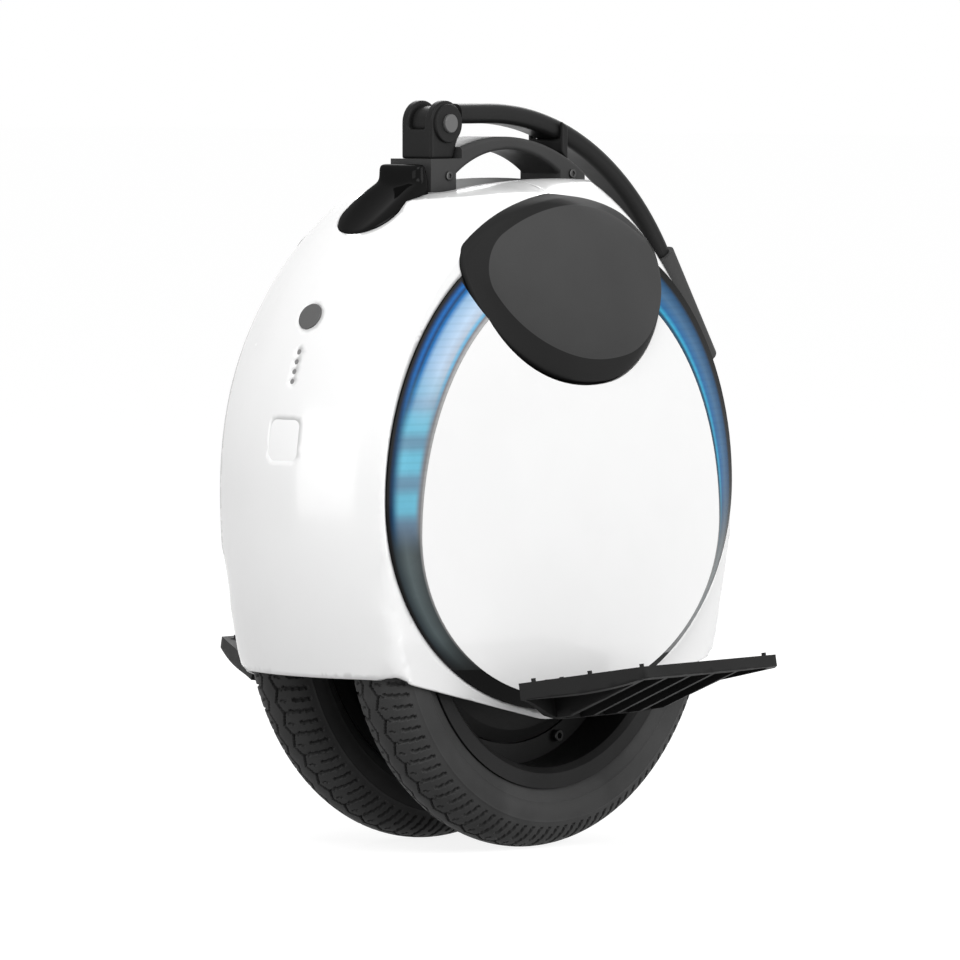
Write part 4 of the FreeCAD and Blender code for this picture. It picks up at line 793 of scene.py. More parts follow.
class Repeater:
    """A Geometry Nodes tree that sets one unit on every point of a host mesh."""

    INPUTS = (
        ("Points", "NodeSocketGeometry"),
        ("Unit", "NodeSocketObject"),
        ("Scale", "NodeSocketFloat"),
        ("Finish", "NodeSocketMaterial"),
    )
    SEAM = 2e-6
    SHARP = 32.0

    def __init__(self) -> None:
        """Build the tree."""
        self.tree = bpy.data.node_groups.new("unit_on_points", "GeometryNodeTree")
        face = self.tree.interface
        self.keys = {}
        for name, kind in self.INPUTS:
            self.keys[name] = face.new_socket(name, in_out="INPUT", socket_type=kind).identifier
        face.new_socket("Mesh", in_out="OUTPUT", socket_type="NodeSocketGeometry")
        add, join = self.tree.nodes.new, self.tree.links.new
        start, end = add("NodeGroupInput"), add("NodeGroupOutput")
        unit, turn = add("GeometryNodeObjectInfo"), add("GeometryNodeInputNamedAttribute")
        turn.data_type = "FLOAT_VECTOR"
        turn.inputs["Name"].default_value = "turn"
        euler, put = add("FunctionNodeEulerToRotation"), add("GeometryNodeInstanceOnPoints")
        real, dress = add("GeometryNodeRealizeInstances"), add("GeometryNodeSetMaterial")
        join(start.outputs["Points"], put.inputs["Points"])
        join(start.outputs["Unit"], unit.inputs["Object"])
        join(start.outputs["Scale"], put.inputs["Scale"])
        join(unit.outputs["Geometry"], put.inputs["Instance"])
        join(turn.outputs["Attribute"], euler.inputs["Euler"])
        join(euler.outputs["Rotation"], put.inputs["Rotation"])
        join(put.outputs["Instances"], real.inputs["Geometry"])
        join(real.outputs["Geometry"], dress.inputs["Geometry"])
        join(start.outputs["Finish"], dress.inputs["Material"])
        join(dress.outputs["Geometry"], end.inputs["Mesh"])

    def mesh(
        self, unit: Mesh, spots: Sequence[tuple[Vector, Vector]], finish: Material, scale: float = 1.0
    ) -> Mesh:
        """Repeat a unit and weld the result.

        Args:
            unit: The mesh to repeat.
            spots: The place and the turn, in radians about each axis, of every copy.
            finish: The material of all copies.
            scale: The size of the copies.

        Returns:
            One plain mesh of all copies.
        """
        points = bpy.data.meshes.new("points")
        points.from_pydata([tuple(place) for place, _ in spots], [], [])
        turns = points.attributes.new("turn", "FLOAT_VECTOR", "POINT")
        turns.data.foreach_set("vector", [value for _, turn in spots for value in turn])
        host, sample = link_object("points", points), link_object("unit", unit)
        modifier = host.modifiers.new("repeat", "NODES")
        modifier.node_group = self.tree
        modifier[self.keys["Unit"]] = sample
        modifier[self.keys["Scale"]] = scale
        modifier[self.keys["Finish"]] = finish
        ready = host.evaluated_get(bpy.context.evaluated_depsgraph_get())
        made = bpy.data.meshes.new_from_object(ready)
        for helper in (host, sample):
            data = helper.data
            bpy.data.objects.remove(helper)
            bpy.data.meshes.remove(data)
        return self._weld(made)

    def _weld(self, mesh: Mesh) -> Mesh:
        """Join touching copies and turn all faces outwards.

        Args:
            mesh: All copies, changed here.

        Returns:
            The same mesh.
        """
        work = bmesh.new()
        work.from_mesh(mesh)
        bmesh.ops.remove_doubles(work, verts=work.verts, dist=self.SEAM)
        bmesh.ops.recalc_face_normals(work, faces=work.faces)
        for face in work.faces:
            face.smooth = True
        work.to_mesh(mesh)
        work.free()
        mesh.set_sharp_from_angle(angle=math.radians(self.SHARP))
        return mesh


@dataclass
class Fastener:
    """A round screw head with a hexagon socket, standing on the plane z = 0."""

    radius: float
    height: float
    sides: int = 24
    chamfer: float = 0.12
    socket: float = 0.56
    socket_depth: float = 0.62
    lip: float = 0.05
    lip_depth: float = 0.06

    def unit(self) -> Mesh:
        """The head as a closed mesh.

        Returns:
            The head, with its axis along Z.
        """
        rings = [
            self._round(1.0, 0.0),
            self._round(1.0, 1.0 - self.chamfer),
            self._round(1.0 - self.chamfer, 1.0),
            self._hexagon(self.socket + self.lip, 1.0),
            self._hexagon(self.socket, 1.0 - self.lip_depth),
            self._hexagon(self.socket, 1.0 - self.socket_depth),
        ]
        work = bmesh.new()
        rows = [[work.verts.new(p) for p in ring] for ring in rings]
        join_rows(work, rows)
        work.faces.new(rows[0])
        work.faces.new(rows[-1])
        return mesh_data(work, "screw_head")

    def _round(self, share: float, level: float) -> list[Vector]:
        """A circle of the head.

        Args:
            share: The share of the radius.
            level: The share of the height.

        Returns:
            Its points.
        """
        turns = [2 * math.pi * i / self.sides for i in range(self.sides)]
        size = self.radius * share
        return [Vector((size * math.cos(a), size * math.sin(a), self.height * level)) for a in turns]

    def _hexagon(self, share: float, level: float) -> list[Vector]:
        """A hexagon with as many points as the circle.

        Args:
            share: The share of the radius.
            level: The share of the height.

        Returns:
            Its points.
        """
        ring = []
        sixth = math.pi / 3
        for point in self._round(share, level):
            turn = math.atan2(point.y, point.x) % sixth - sixth / 2
            flat = math.cos(sixth / 2) / math.cos(turn)
            ring.append(Vector((point.x * flat, point.y * flat, point.z)))
        return ring


@dataclass
class Fixings:
    """The screws of the carry handle and the bolts of the motor."""

    repeater: Repeater
    screw: Fastener
    bolt: Fastener
    screw_spots: tuple[float, float] = (0.054, -0.076)
    screw_height: float = 0.470
    screw_face: float = 0.0190
    bolt_circle: float = 0.1125
    bolt_face: float = 0.032
    bolts: int = 8

    def build(self) -> None:
        """Make both sets."""
        finish = DARK_STEEL.material()
        spots = [
            (Vector((AXLE.x + x, side.value * self.screw_face, self.screw_height)), self._facing(side))
            for x in self.screw_spots
            for side in Side
        ]
        screws = self.repeater.mesh(self.screw.unit(), spots, finish)
        add_piece("handle_socket_screws", screws, Body.CHASSIS, "handle_screws")
        spots = []
        for side in Side:
            for step in range(self.bolts):
                turn = 2 * math.pi * (step + 0.5) / self.bolts
                arm = Vector((math.cos(turn), 0.0, math.sin(turn))) * self.bolt_circle
                place = Vector((AXLE.x, side.value * self.bolt_face, AXLE.z)) + arm
                spots.append((place, self._facing(side)))
        bolts = self.repeater.mesh(self.bolt.unit(), spots, finish)
        add_piece("motor_socket_bolts", bolts, Body.WHEEL, "motor_bolts")

    @staticmethod
    def _facing(side: Side) -> Vector:
        """The turn that points a head out of a side."""
        return Vector((-side.value * math.pi / 2, 0.0, 0.0))


@dataclass
class Tyres:
    """Two tyres with a cut tread: shoulder slots, a zigzag groove each side of the middle and fine sipes.

    Places round the section are in degrees from the middle of the tread, and places along a unit of the
    tread are shares of it. A wall ring is its place, its half width and its height.
    """

    repeater: Repeater
    middle_radius: float = 0.152
    section_radius: float = 0.026
    track_half: float = 0.0475
    foot_radius: float = 0.134
    foot_half: float = 0.017
    foot_angle: float = 127.2
    units: int = 60
    steps: int = 16
    crown_angle: int = 24
    crown_step: int = 2
    slot_step: float = 3.5
    slot_steps: int = 12
    wall_angles: tuple[float, ...] = (
        66, 70, 73, 74, 75, 78, 84, 90, 96, 101, 102.5, 104, 105.5, 107, 112, 118, 124
    )
    cut_depth: float = 0.0024
    slot_starts: Span = (26.0, 35.0)
    slot_end: float = 64.0
    slot_share: float = 0.26
    slot_square: float = 28.0
    slot_lean: float = 0.012
    groove: float = 12.0
    groove_swing: float = 4.0
    groove_half: float = 1.6
    sipe_ends: Span = (16.0, 27.0)
    sipe_share: float = 0.13
    sipe_offset: float = 0.55
    sipe_lean: float = 0.02
    sipe_depth: float = 0.7
    wall_rings: tuple[tuple[float, float, float], ...] = ((104.0, 1.8, 0.0005), (74.0, 1.2, 0.0004))

    def build(self) -> None:
        """Make both tyres."""
        turns = [Vector((0.0, 2 * math.pi * k / self.units, 0.0)) for k in range(self.units)]
        for side in Side:
            hub = Vector((AXLE.x, side.value * self.track_half, AXLE.z))
            spots = [(hub, turn) for turn in turns]
            mesh = self.repeater.mesh(self._sector(), spots, TYRE_RUBBER.material())
            add_piece(f"{side.label}_cut_tyre", mesh, Body.WHEEL, f"{side.label}_tyre")

    def _angles(self) -> list[float]:
        """The places round the section, close together where the tread is cut finely.

        Returns:
            Angles from one foot to the other.
        """
        half = [float(angle) for angle in range(1, self.crown_angle, self.crown_step)]
        half += [self.crown_angle + self.slot_step * i for i in range(self.slot_steps)]
        half += [*self.wall_angles, self.foot_angle]
        return [-angle for angle in reversed(half)] + half

    def _cut(self, angle: float, share: float) -> float:
        """How deep the tread is cut, from zero to one.

        Args:
            angle: The place round the section.
            share: The place along the unit.

        Returns:
            The share of the full depth.
        """
        off = abs(angle)
        place = (2 * share + (off - self.slot_square) * self.slot_lean) % 2
        start = self.slot_starts[int(place)]
        if start <= off <= self.slot_end and place % 1 < self.slot_share:
            return 1.0
        zigzag = self.groove + self.groove_swing * (4 * abs(share % 1 - 0.5) - 1)
        if abs(off - zigzag) < self.groove_half:
            return 1.0
        first, last = self.sipe_ends
        place = (2 * share + self.sipe_offset + off * self.sipe_lean) % 1
        return self.sipe_depth if first < off < last and place < self.sipe_share else 0.0

    def _raise(self, angle: float) -> float:
        """The height of the moulded rings on the sidewall."""
        off = abs(angle)
        return sum(tall * math.exp(-(((off - place) / half) ** 2)) for place, half, tall in self.wall_rings)

    def _sector(self) -> Mesh:
        """One unit of the tread with its share of the sidewalls and the foot.

        Returns:
            The unit, with the wheel's centre at the origin.
        """
        work = bmesh.new()
        columns = []
        for step in range(self.steps + 1):
            share = step / self.steps
            turn = (share - 0.5) * 2 * math.pi / self.units
            column = []
            for angle in self._angles():
                size = self.section_radius + self._raise(angle) - self.cut_depth * self._cut(angle, share)
                bend = math.radians(angle)
                column.append((self.middle_radius + size * math.cos(bend), size * math.sin(bend)))
            column += [(self.foot_radius, self.foot_half), (self.foot_radius, -self.foot_half)]
            spots = [Vector((r * math.cos(turn), y, r * math.sin(turn))) for r, y in column]
            columns.append([work.verts.new(spot) for spot in spots])
        join_rows(work, columns)
        return mesh_data(work, "tread_unit")


# Shell


@dataclass
class CrownShells:
    """Both halves of the shell, with round shoulders drawn in towards the side rings.

    A fade is where it starts, over the middle of the rings, and how far it runs.
    """

    egg: Egg = LIGHT_GUIDE.outer
    half_length: float = 0.204
    half_width: float = 0.178
    rise: float = 0.235
    drop: float = 0.313
    centre: float = 0.253
    deck: float = 0.466
    flat: float = 0.030
    side: float = 0.077
    front_share: float = 0.7
    rear_share: float = 0.04
    blend: float = 0.05
    front_fullness: float = 0.4
    front_fade: Span = (0.04, 0.1)
    rear_fade: Span = (-0.05, 0.05)
    skin: float = 0.005
    side_margin: float = 0.00001
    lip_top: float = 0.165
    lip_height: float = 0.006
    crease_out: float = 0.062
    crease_along: float = 0.07
    crease_level: float = 1.03
    crease_fade: float = 0.08
    crease_passes: int = 8
    longest_edge: float = 0.006
    sharp: float = 62.0
    halvings: int = 24

    def build(self) -> None:
        """Make both halves from the solids."""
        for half in ("front", "rear"):
            work = merged_copy(f"{half}_shell")
            refine(work, self.longest_edge)
            for vert in work.verts:
                vert.co = self._drawn_in(self._settled(vert.co))
            self._round_creases(work)
            mesh = smooth_mesh(work, f"{half}_crown", self.sharp, WHITE_SHELL.material())
            add_piece(f"{half}_crown", mesh, Body.CHASSIS, f"{half}_shell")

    def _settled(self, spot: Vector) -> Vector:
        """A point of the outer skin set on the true crown, others as they are.

        Args:
            spot: A point of the solid.

        Returns:
            Its new place.
        """
        tall = self.rise if spot.z > self.centre else self.drop
        arm = Vector((spot.x - AXLE.x, spot.y, spot.z - self.centre))
        level = Vector((arm.x / self.half_length, arm.y / self.half_width, arm.z / tall)).length
        on_crown = abs(spot.y) <= self.side - self.side_margin and abs(level - 1) <= self.skin
        if not on_crown or spot.z < self.lip_top:
            return spot.copy()
        grown = arm / level
        return Vector((AXLE.x + grown.x, spot.y, self.centre + grown.z))

    def _round_creases(self, work: BMesh) -> None:
        """Round the crease between the crown and the flat sides, below the middle of the rings.

        Args:
            work: One half of the shell, changed here.
        """
        low = min(vert.co.z for vert in work.verts) + self.lip_height
        crease = [vert for vert in work.verts if vert.co.z > low and self._on_crease(vert.co)]
        before = [vert.co.copy() for vert in crease]
        axes = {"use_axis_x": True, "use_axis_y": True, "use_axis_z": True}
        for _ in range(self.crease_passes):
            bmesh.ops.smooth_vert(work, verts=crease, factor=0.5, **axes)
        for vert, spot in zip(crease, before):
            vert.co = spot.lerp(vert.co, smooth_step((self.egg.centre - spot.z) / self.crease_fade))

    def _on_crease(self, spot: Vector) -> bool:
        """True for a point near the crease and outside the rings.

        Args:
            spot: A point of the shell.

        Returns:
            Whether it is to be rounded.
        """
        along = spot.x - AXLE.x
        if abs(spot.y) <= self.crease_out or abs(along) <= self.crease_along or spot.z >= self.egg.centre:
            return False
        return self.egg.reach(along, spot.z) > self.crease_level

    def _keep(self, along: float, y: float, lift: float) -> float:
        """How much of its distance from the ring a point keeps.

        Args:
            along: The distance forward of the axle.
            y: The distance from the middle plane.
            lift: The height over the middle of the ring.

        Returns:
            A share, up to one.
        """
        out = min(max((abs(y) - self.flat) / (self.side - self.flat), 0.0), 1.0)
        ahead = smooth_step((along + self.blend) / (2 * self.blend))
        rim = self.rear_share + (self.front_share - self.rear_share) * ahead
        kept = rim + (1 - rim) * (1 - out * out) ** (1 - self.front_fullness * ahead)
        front, rear = (smooth_step((lift - low) / run) for low, run in (self.front_fade, self.rear_fade))
        return 1 - (1 - kept) * (ahead * front + (1 - ahead) * rear)

    def _drawn_in(self, spot: Vector) -> Vector:
        """A point of the solid moved towards the ring.

        Args:
            spot: A point of the solid.

        Returns:
            Its new place.
        """
        along, lift = spot.x - AXLE.x, spot.z - self.egg.centre
        level = self.egg.reach(along, spot.z)
        if level <= 1:
            return spot
        scale = (1 + (level - 1) * self._keep(along, spot.y, lift)) / level
        return Vector((AXLE.x + along * scale, spot.y, self.egg.centre + lift * scale))

    def surface(self, along: float, height: float) -> float:
        """How far out the drawn-in skin is at a point of the side.

        Args:
            along: The distance forward of the axle.
            height: The height over the ground.

        Returns:
            The distance from the middle plane.
        """
        lift = height - self.egg.centre
        level = self.egg.reach(along, height)
        if lift <= 0 or level <= 1:
            return self.side
        low, high = self.flat, self.side
        for _ in range(self.halvings):
            y = (low + high) / 2
            share = math.sqrt(1 - (y / self.half_width) ** 2)
            stretch = self._stretch(along, lift, share)
            reach = 1 + (level * stretch - 1) * self._keep(along, y, lift)
            low, high = (y, high) if reach > level else (low, y)
        return high

    def _stretch(self, along: float, lift: float, share: float) -> float:
        """How many times further out the solid's section is in the direction of a point.

        Args:
            along: The distance forward of the axle.
            lift: The height over the middle of the ring.
            share: The size of that section, as a share of the middle one.

        Returns:
            The ratio.
        """
        offset = self.centre - self.egg.centre
        wide, tall = (self.half_length * share) ** 2, (self.rise * share) ** 2
        a = along**2 / wide + lift**2 / tall
        b = -2 * lift * offset / tall
        c = offset**2 / tall - 1
        stretch = (-b + math.sqrt(b * b - 4 * a * c)) / (2 * a)
        return min(stretch, (self.deck - self.egg.centre) / lift)


# Softened mouldings


@dataclass(frozen=True)
class SoftCopy:
    """A CAD node, the rounder piece that stands for it and how often its surface is evened out."""

    node: str
    name: str
    rounds: int
    finish: Finish
    slot: str


SCOOP = SoftCopy("front_scoop", "scoop_moulding", 60, GLOSS_BLACK, "gloss_black")
BRACKET = SoftCopy("pole_bracket", "bracket_casting", 7, SATIN_BLACK, "black_plastic")
CLIP = SoftCopy("pole_clip", "clip_moulding", 10, SATIN_BLACK, "black_plastic")


@dataclass
class SoftMouldings:
    """Black mouldings whose edges are rounded more than the solids'."""

    shells: CrownShells
    voxel: float = 0.0009
    sharp: float = 70.0
    clip_share: float = 0.5
    collar_foot: float = 0.003
    collar_share: float = 0.8
    collar_edge: float = 0.004

    def build(self) -> None:
        """Make the scoop, the bracket and the clip."""
        self._soften(SCOOP, self._sunk(merged_copy(SCOOP.node)))
        self._soften(BRACKET, merged_copy(BRACKET.node))
        clip = merged_copy(CLIP.node)
        middle = sum(vert.co.x for vert in clip.verts) / len(clip.verts)
        for vert in clip.verts:
            vert.co.x = middle + (vert.co.x - middle) * self.clip_share
        self._soften(CLIP, clip)

    def _sunk(self, work: BMesh) -> BMesh:
        """The scoop with its collar lowered towards the crown.

        Args:
            work: A copy of the scoop, changed here.

        Returns:
            The same copy.
        """
        crown = self.shells
        refine(work, self.collar_edge)
        for vert in work.verts:
            along = (vert.co.x - AXLE.x) / crown.half_length
            share = max(1 - along**2 - (vert.co.y / crown.half_width) ** 2, 0.0)
            skin = min(crown.centre + crown.rise * math.sqrt(share), crown.deck)
            proud = vert.co.z - skin - self.collar_foot
            if proud > 0:
                vert.co.z -= proud * (1 - self.collar_share)
        return work

    def _soften(self, copy: SoftCopy, work: BMesh) -> None:
        """Replace one node by a rounder copy.

        Args:
            copy: The node and the piece that stands for it.
            work: The working mesh, freed here.
        """
        draft = link_object("draft", mesh_data(work, "draft"))
        remesh = draft.modifiers.new("remesh", "REMESH")
        remesh.mode = "VOXEL"
        remesh.voxel_size = self.voxel
        even = draft.modifiers.new("even", "SMOOTH")
        even.factor = 0.5
        even.iterations = copy.rounds
        ready = draft.evaluated_get(bpy.context.evaluated_depsgraph_get())
        rounded = bmesh.new()
        rounded.from_mesh(ready.to_mesh())
        data = draft.data
        bpy.data.objects.remove(draft)
        bpy.data.meshes.remove(data)
        mesh = smooth_mesh(rounded, copy.name, self.sharp, copy.finish.material())
        add_piece(copy.name, mesh, Body.CHASSIS, copy.node)


# Footrests


@dataclass
class Footrests:
    """Two footrests whose underside tapers towards both ends."""

    pivot_out: float = 0.097
    pivot_height: float = 0.113
    tilt: float = 10.0
    hem: float = -0.0015
    full_half: float = 0.040
    run: float = 0.060
    end_share: float = 0.2
    longest_edge: float = 0.009
    sharp: float = 28.0

    def build(self) -> None:
        """Make both footrests."""
        for side, body in ((Side.LEFT, Body.LEFT_FOOTREST), (Side.RIGHT, Body.RIGHT_FOOTREST)):
            work = merged_copy(f"{side.label}_pedal")
            refine(work, self.longest_edge)
            pose = Matrix.Translation((AXLE.x, side.value * self.pivot_out, self.pivot_height))
            pose = pose @ Matrix.Rotation(math.radians(side.value * self.tilt), 4, "X")
            back = pose.inverted()
            for vert in work.verts:
                local = back @ vert.co
                if local.z < self.hem:
                    shrink = (1 - self.end_share) * smooth_step((abs(local.x) - self.full_half) / self.run)
                    local.z = self.hem + (local.z - self.hem) * (1 - shrink)
                vert.co = pose @ local
            name = f"{side.label}_tapered_footrest"
            mesh = smooth_mesh(work, name, self.sharp, PEDAL_BLACK.material())
            add_piece(name, mesh, body, f"{side.label}_pedal")


# Knee pads


@dataclass(frozen=True)
class Teardrop:
    """An outline of two circles and the two arcs that bridge them, in the plane of a side."""

    rear: Vector
    tip: Vector
    rear_radius: float
    tip_radius: float
    upper_radius: float
    lower_radius: float
    arc_steps: tuple[int, ...] = (44, 72, 48, 36)
    middle_share: float = 0.25

    def mixed(self, other: "Teardrop", share: float) -> "Teardrop":
        """The outline a share of the way to another one.

        Args:
            other: The outline at the far end.
            share: How far to go.

        Returns:
            The outline between.
        """
        radii = [
            getattr(self, name) + (getattr(other, name) - getattr(self, name)) * share
            for name in ("rear_radius", "tip_radius", "upper_radius", "lower_radius")
        ]
        return Teardrop(self.rear.lerp(other.rear, share), self.tip.lerp(other.tip, share), *radii)

    def points(self, share: float = 1.0) -> list[Vector]:
        """The outline's points, drawn in towards its middle by a share.

        Args:
            share: The share of its size that is left.

        Returns:
            The points in order.
        """
        upper, lower = self._bridge(self.upper_radius, 1.0), self._bridge(self.lower_radius, -1.0)
        arcs = (
            (upper, self.upper_radius, self.tip - upper, self.rear - upper),
            (self.rear, self.rear_radius, self.rear - upper, self.rear - lower),
            (lower, self.lower_radius, self.rear - lower, self.tip - lower),
            (self.tip, self.tip_radius, self.tip - lower, self.tip - upper),
        )
        middle = self.rear.lerp(self.tip, self.middle_share)
        outline = []
        for (centre, radius, first, last), count in zip(arcs, self.arc_steps):
            start = math.atan2(first.y, first.x)
            sweep = (math.atan2(last.y, last.x) - start) % (2 * math.pi)
            for i in range(count):
                turn = start + sweep * i / count
                point = centre + Vector((math.cos(turn), math.sin(turn))) * radius
                outline.append(middle.lerp(point, share))
        return outline

    def _bridge(self, radius: float, up: float) -> Vector:
        """The centre of a bridging arc.

        Args:
            radius: The arc's radius.
            up: One for the upper arc and minus one for the lower one.

        Returns:
            Its centre.
        """
        from_rear, from_tip = radius - self.rear_radius, radius - self.tip_radius
        span = (self.tip - self.rear).length
        ahead = (self.tip - self.rear).normalized()
        along = (from_rear**2 - from_tip**2 + span**2) / (2 * span)
        across = math.sqrt(from_rear**2 - along**2)
        return self.rear + ahead * along - Vector((-ahead.y, ahead.x)) * (up * across)


@dataclass
class KneePads:
    """Two moulded pads: a steep wall and a sloping border round a domed face plate.

    The wall's rows are shares of the way from the foot's outline to the edge and heights over the seat. The
    border's are shares of the way from the edge to the face and shares of the rise. The plate's are shares
    of the face's outline and of the rise.
    """

    base: Teardrop
    edge: Teardrop
    face: Teardrop
    shells: CrownShells
    plate_roll: float = 0.5
    tuck: float = 0.013
    tuck_run: float = 0.11
    seat: float = 0.0773
    shoulder: float = 0.0880
    top: float = 0.0940
    dome: float = 0.0048
    foot_share: float = 0.49
    wall: tuple[Point, ...] = ((0.0, 0.0), (0.1, 0.0012), (0.5, 0.0055), (0.92, 0.0098))
    border: tuple[Point, ...] = (
        (0.03, 0.0), (0.1, 0.1), (0.35, 0.36), (0.65, 0.62), (0.88, 0.79), (0.97, 0.845)
    )
    plate: tuple[Point, ...] = (
        (1.0, 0.862), (0.985, 0.875), (0.94, 0.9), (0.8, 0.94), (0.6, 0.97), (0.4, 0.99), (0.2, 1.0)
    )

    def build(self) -> None:
        """Make both pads."""
        for side in Side:
            name = f"{side.label}_soft_pad"
            mesh = self._mesh(side, name)
            mesh.materials.append(PAD_SKIN.material())
            pad = add_piece(name, mesh, Body.CHASSIS, f"{side.label}_knee_pad")

    def _rings(self) -> list[tuple[list[Vector], float, float]]:
        """The outline, the place along Y and the plate share of each ring, from the seat to the crown.

        Returns:
            One row for each ring.
        """
        foot = self.base.mixed(self.edge, self.foot_share)
        rise = self.top - self.shoulder
        rings = [(foot.mixed(self.edge, share).points(), self.seat + up, 0.0) for share, up in self.wall]
        for share, up in self.border:
            rings.append((self.edge.mixed(self.face, share).points(), self.shoulder + rise * up, 0.0))
        for share, up in self.plate:
            bulge = self.dome * (1 - share * share)
            rings.append((self.face.points(share), self.shoulder + rise * up + bulge, 1.0))
        return rings

    def _sunk(self, spot: Vector, y: float) -> float:
        """How far a point comes in with the drawn-in shell.

        Args:
            spot: A point of a ring, in the plane of a side.
            y: The ring's place along Y.

        Returns:
            The distance.
        """
        along = spot.x - AXLE.x
        lifted = smooth_step((y - self.seat) / (self.top - self.seat))
        roll = 1 - (1 - self.plate_roll) * lifted
        ahead = smooth_step(along / self.tuck_run)
        drop = self.shells.side - self.shells.surface(along, spot.y)
        return drop * (roll + (1 - roll) * ahead) + self.tuck * ahead * lifted

    def _mesh(self, side: Side, name: str) -> Mesh:
        """One pad as a closed mesh.

        Args:
            side: The side that it is for.
            name: The name of the data.

        Returns:
            The mesh data.
        """
        work = bmesh.new()
        layer = work.verts.layers.float.new("plate")

        def vertex(spot: Vector, share: float) -> BMVert:
            """A new point with its plate share.

            Args:
                spot: Its place.
                share: One on the face plate, else zero.

            Returns:
                The point.
            """
            made = work.verts.new(spot)
            made[layer] = share
            return made

        rows = []
        for outline, y, share in self._rings():
            spots = [Vector((p.x, side.value * (y - self._sunk(p, y)), p.y)) for p in outline]
            rows.append([vertex(spot, share) for spot in spots])
        join_rows(work, rows)
        for row, share in ((rows[0], 0.0), (rows[-1], 1.0)):
            hub = vertex(sum((v.co for v in row), Vector()) / len(row), share)
            for first, second in zip(row, row[1:] + row[:1]):
                work.faces.new((first, second, hub))
        bmesh.ops.recalc_face_normals(work, faces=work.faces)
        for face in work.faces:
            face.smooth = True
        return mesh_data(work, name)


def knee_pads(shells: CrownShells) -> KneePads:
    """The pads with their three outlines, seated on the shells.

    Args:
        shells: The shell that the pads are seated on.

    Returns:
        Both pads, to be built.
    """

    def outline(rear: Point, reach: Point, *radii: float) -> Teardrop:
        """One outline from its rear centre, the way from there to its tip and its four radii."""
        start = Vector((AXLE.x + rear[0], rear[1]))
        return Teardrop(start, start + Vector(reach), *radii)

    return KneePads(
        base=outline((-0.028, 0.3895), (0.122, 0.0255), 0.0645, 0.018, 0.175, 0.140),
        edge=outline((-0.030, 0.3885), (0.118, 0.0215), 0.062, 0.014, 0.150, 0.138),
        face=outline((-0.042, 0.389), (0.096, 0.019), 0.045, 0.028, 0.120, 0.130),
        shells=shells,
    )


# Stage


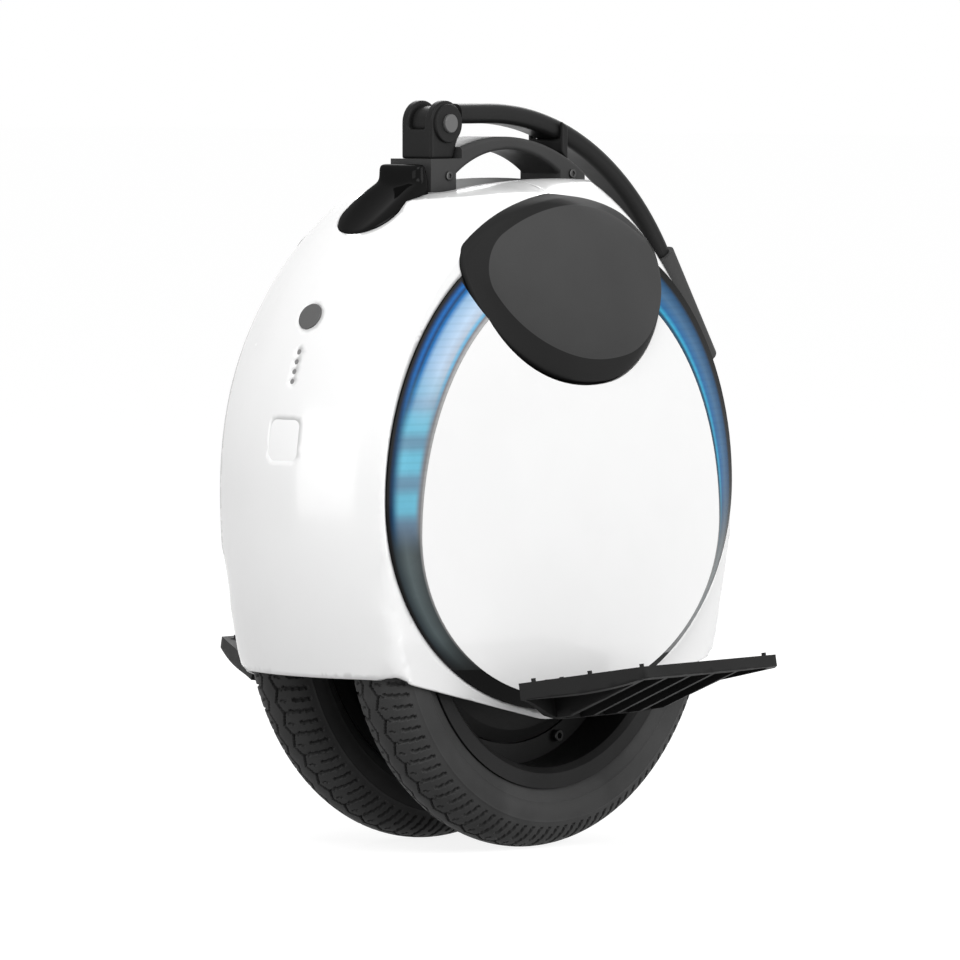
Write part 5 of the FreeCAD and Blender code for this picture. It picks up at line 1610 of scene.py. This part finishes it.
@dataclass
class Studio:
    """Camera, lamps, world and a pale floor."""

    target: Vector
    towards_camera: Vector
    distance: float = 5.523
    lens: float = 294.3
    sensor: float = 36.0
    clip_end: float = 200.0
    world_level: float = 0.45
    floor_half: float = 30.0
    floor_colour: Colour = grey(0.3)
    floor_glow: float = 0.86
    lamps: tuple[tuple[str, tuple[float, float, float], float, float], ...] = (
        ("key", (1.6, 1.1, 2.2), 1.8, 50.0),
        ("fill", (-0.6, 2.2, 0.8), 1.6, 30.0),
        ("back", (-1.8, -1.6, 1.8), 1.6, 30.0),
        ("front", (2.4, -0.6, 0.35), 1.4, 16.0),
    )

    def build(self) -> None:
        """Set up the whole stage, with soft square lamps of a place, a size and a power each."""
        self._camera()
        self._world()
        self._floor()
        for name, place, size, power in self.lamps:
            data = bpy.data.lights.new(name, "AREA")
            data.size = size
            data.energy = power
            self._aimed(name, data, Vector(place))
        bpy.context.scene.view_settings.view_transform = "Standard"

    def _aimed(self, name: str, data: bpy.types.ID, place: Vector) -> Object:
        """A lamp or a camera at a place, turned to the machine.

        Args:
            name: Its name.
            data: The lamp or the camera.
            place: Where it stands.

        Returns:
            The new object.
        """
        made = link_object(name, data)
        made.location = place
        made.rotation_mode = "QUATERNION"
        made.rotation_quaternion = (self.target - place).to_track_quat("-Z", "Y")
        return made

    def _camera(self) -> None:
        """Stand the camera at the photograph's angle."""
        data = bpy.data.cameras.new("camera")
        data.lens = self.lens
        data.sensor_width = self.sensor
        data.clip_end = self.clip_end
        place = self.target + self.towards_camera.normalized() * self.distance
        bpy.context.scene.camera = self._aimed("camera", data, place)

    @staticmethod
    def _seen(sheet: NodeSheet) -> Signal:
        """One for rays that show the background, else zero.

        Args:
            sheet: The nodes that it is added to.

        Returns:
            The signal.
        """
        path = sheet.node("ShaderNodeLightPath").socket.node
        kinds = ("Is Camera Ray", "Is Glossy Ray", "Is Transmission Ray")
        camera, glossy, through = (Signal(sheet, path.outputs[kind]) for kind in kinds)
        return (camera + glossy + through).clamped()

    def _world(self) -> None:
        """White to the camera, softer as a light."""
        world = bpy.data.worlds.new("studio")
        bpy.context.scene.world = world
        sheet = NodeSheet(world)
        strength = self.world_level + self._seen(sheet) * (1 - self.world_level)
        light = sheet.node("ShaderNodeBackground", inputs={"Color": grey(1.0), "Strength": strength})
        sheet.node("ShaderNodeOutputWorld", inputs={"Surface": light})

    def _floor(self) -> None:
        """A wide pale floor that keeps the soft shadow."""
        half = self.floor_half
        mesh = bpy.data.meshes.new("floor")
        corners = [(-half, -half, 0), (half, -half, 0), (half, half, 0), (-half, half, 0)]
        mesh.from_pydata(corners, [], [(0, 1, 2, 3)])
        finish = bpy.data.materials.new("pale_floor")
        sheet = NodeSheet(finish)
        matt = sheet.node("ShaderNodeBsdfDiffuse", inputs={"Color": self.floor_colour})
        glow = sheet.node("ShaderNodeEmission", inputs={"Color": grey(1.0), "Strength": self.floor_glow})
        lit = sheet.node("ShaderNodeAddShader", inputs={0: matt, 1: glow})
        mixed = sheet.node("ShaderNodeMixShader", inputs={0: self._seen(sheet), 1: matt, 2: lit})
        sheet.node("ShaderNodeOutputMaterial", inputs={"Surface": mixed})
        mesh.materials.append(finish)
        link_object("floor", mesh)


def dress_cad_nodes() -> None:
    """Give every CAD node its finish."""
    for finish, nodes in CAD_FINISHES.items():
        for node in nodes:
            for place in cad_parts[node].material_slots:
                place.material = finish.material()
            LOG.info("dressed %s", node)


def main() -> None:
    """Build the scene in order."""
    logging.basicConfig(level=logging.INFO)
    target, towards_camera = Vector((AXLE.x, 0.0, 0.2552)), Vector((0.7424, 0.6676, 0.0569))
    Studio(target, towards_camera).build()
    dress_cad_nodes()
    repeater = Repeater()
    screw, bolt = Fastener(radius=0.0032, height=0.0015), Fastener(radius=0.0042, height=0.005)
    Fixings(repeater, screw, bolt).build()
    Tyres(repeater).build()
    shells = CrownShells()
    shells.build()
    knee_pads(shells).build()
    SoftMouldings(shells).build()
    Footrests().build()


if __name__ == "__main__":
    main()
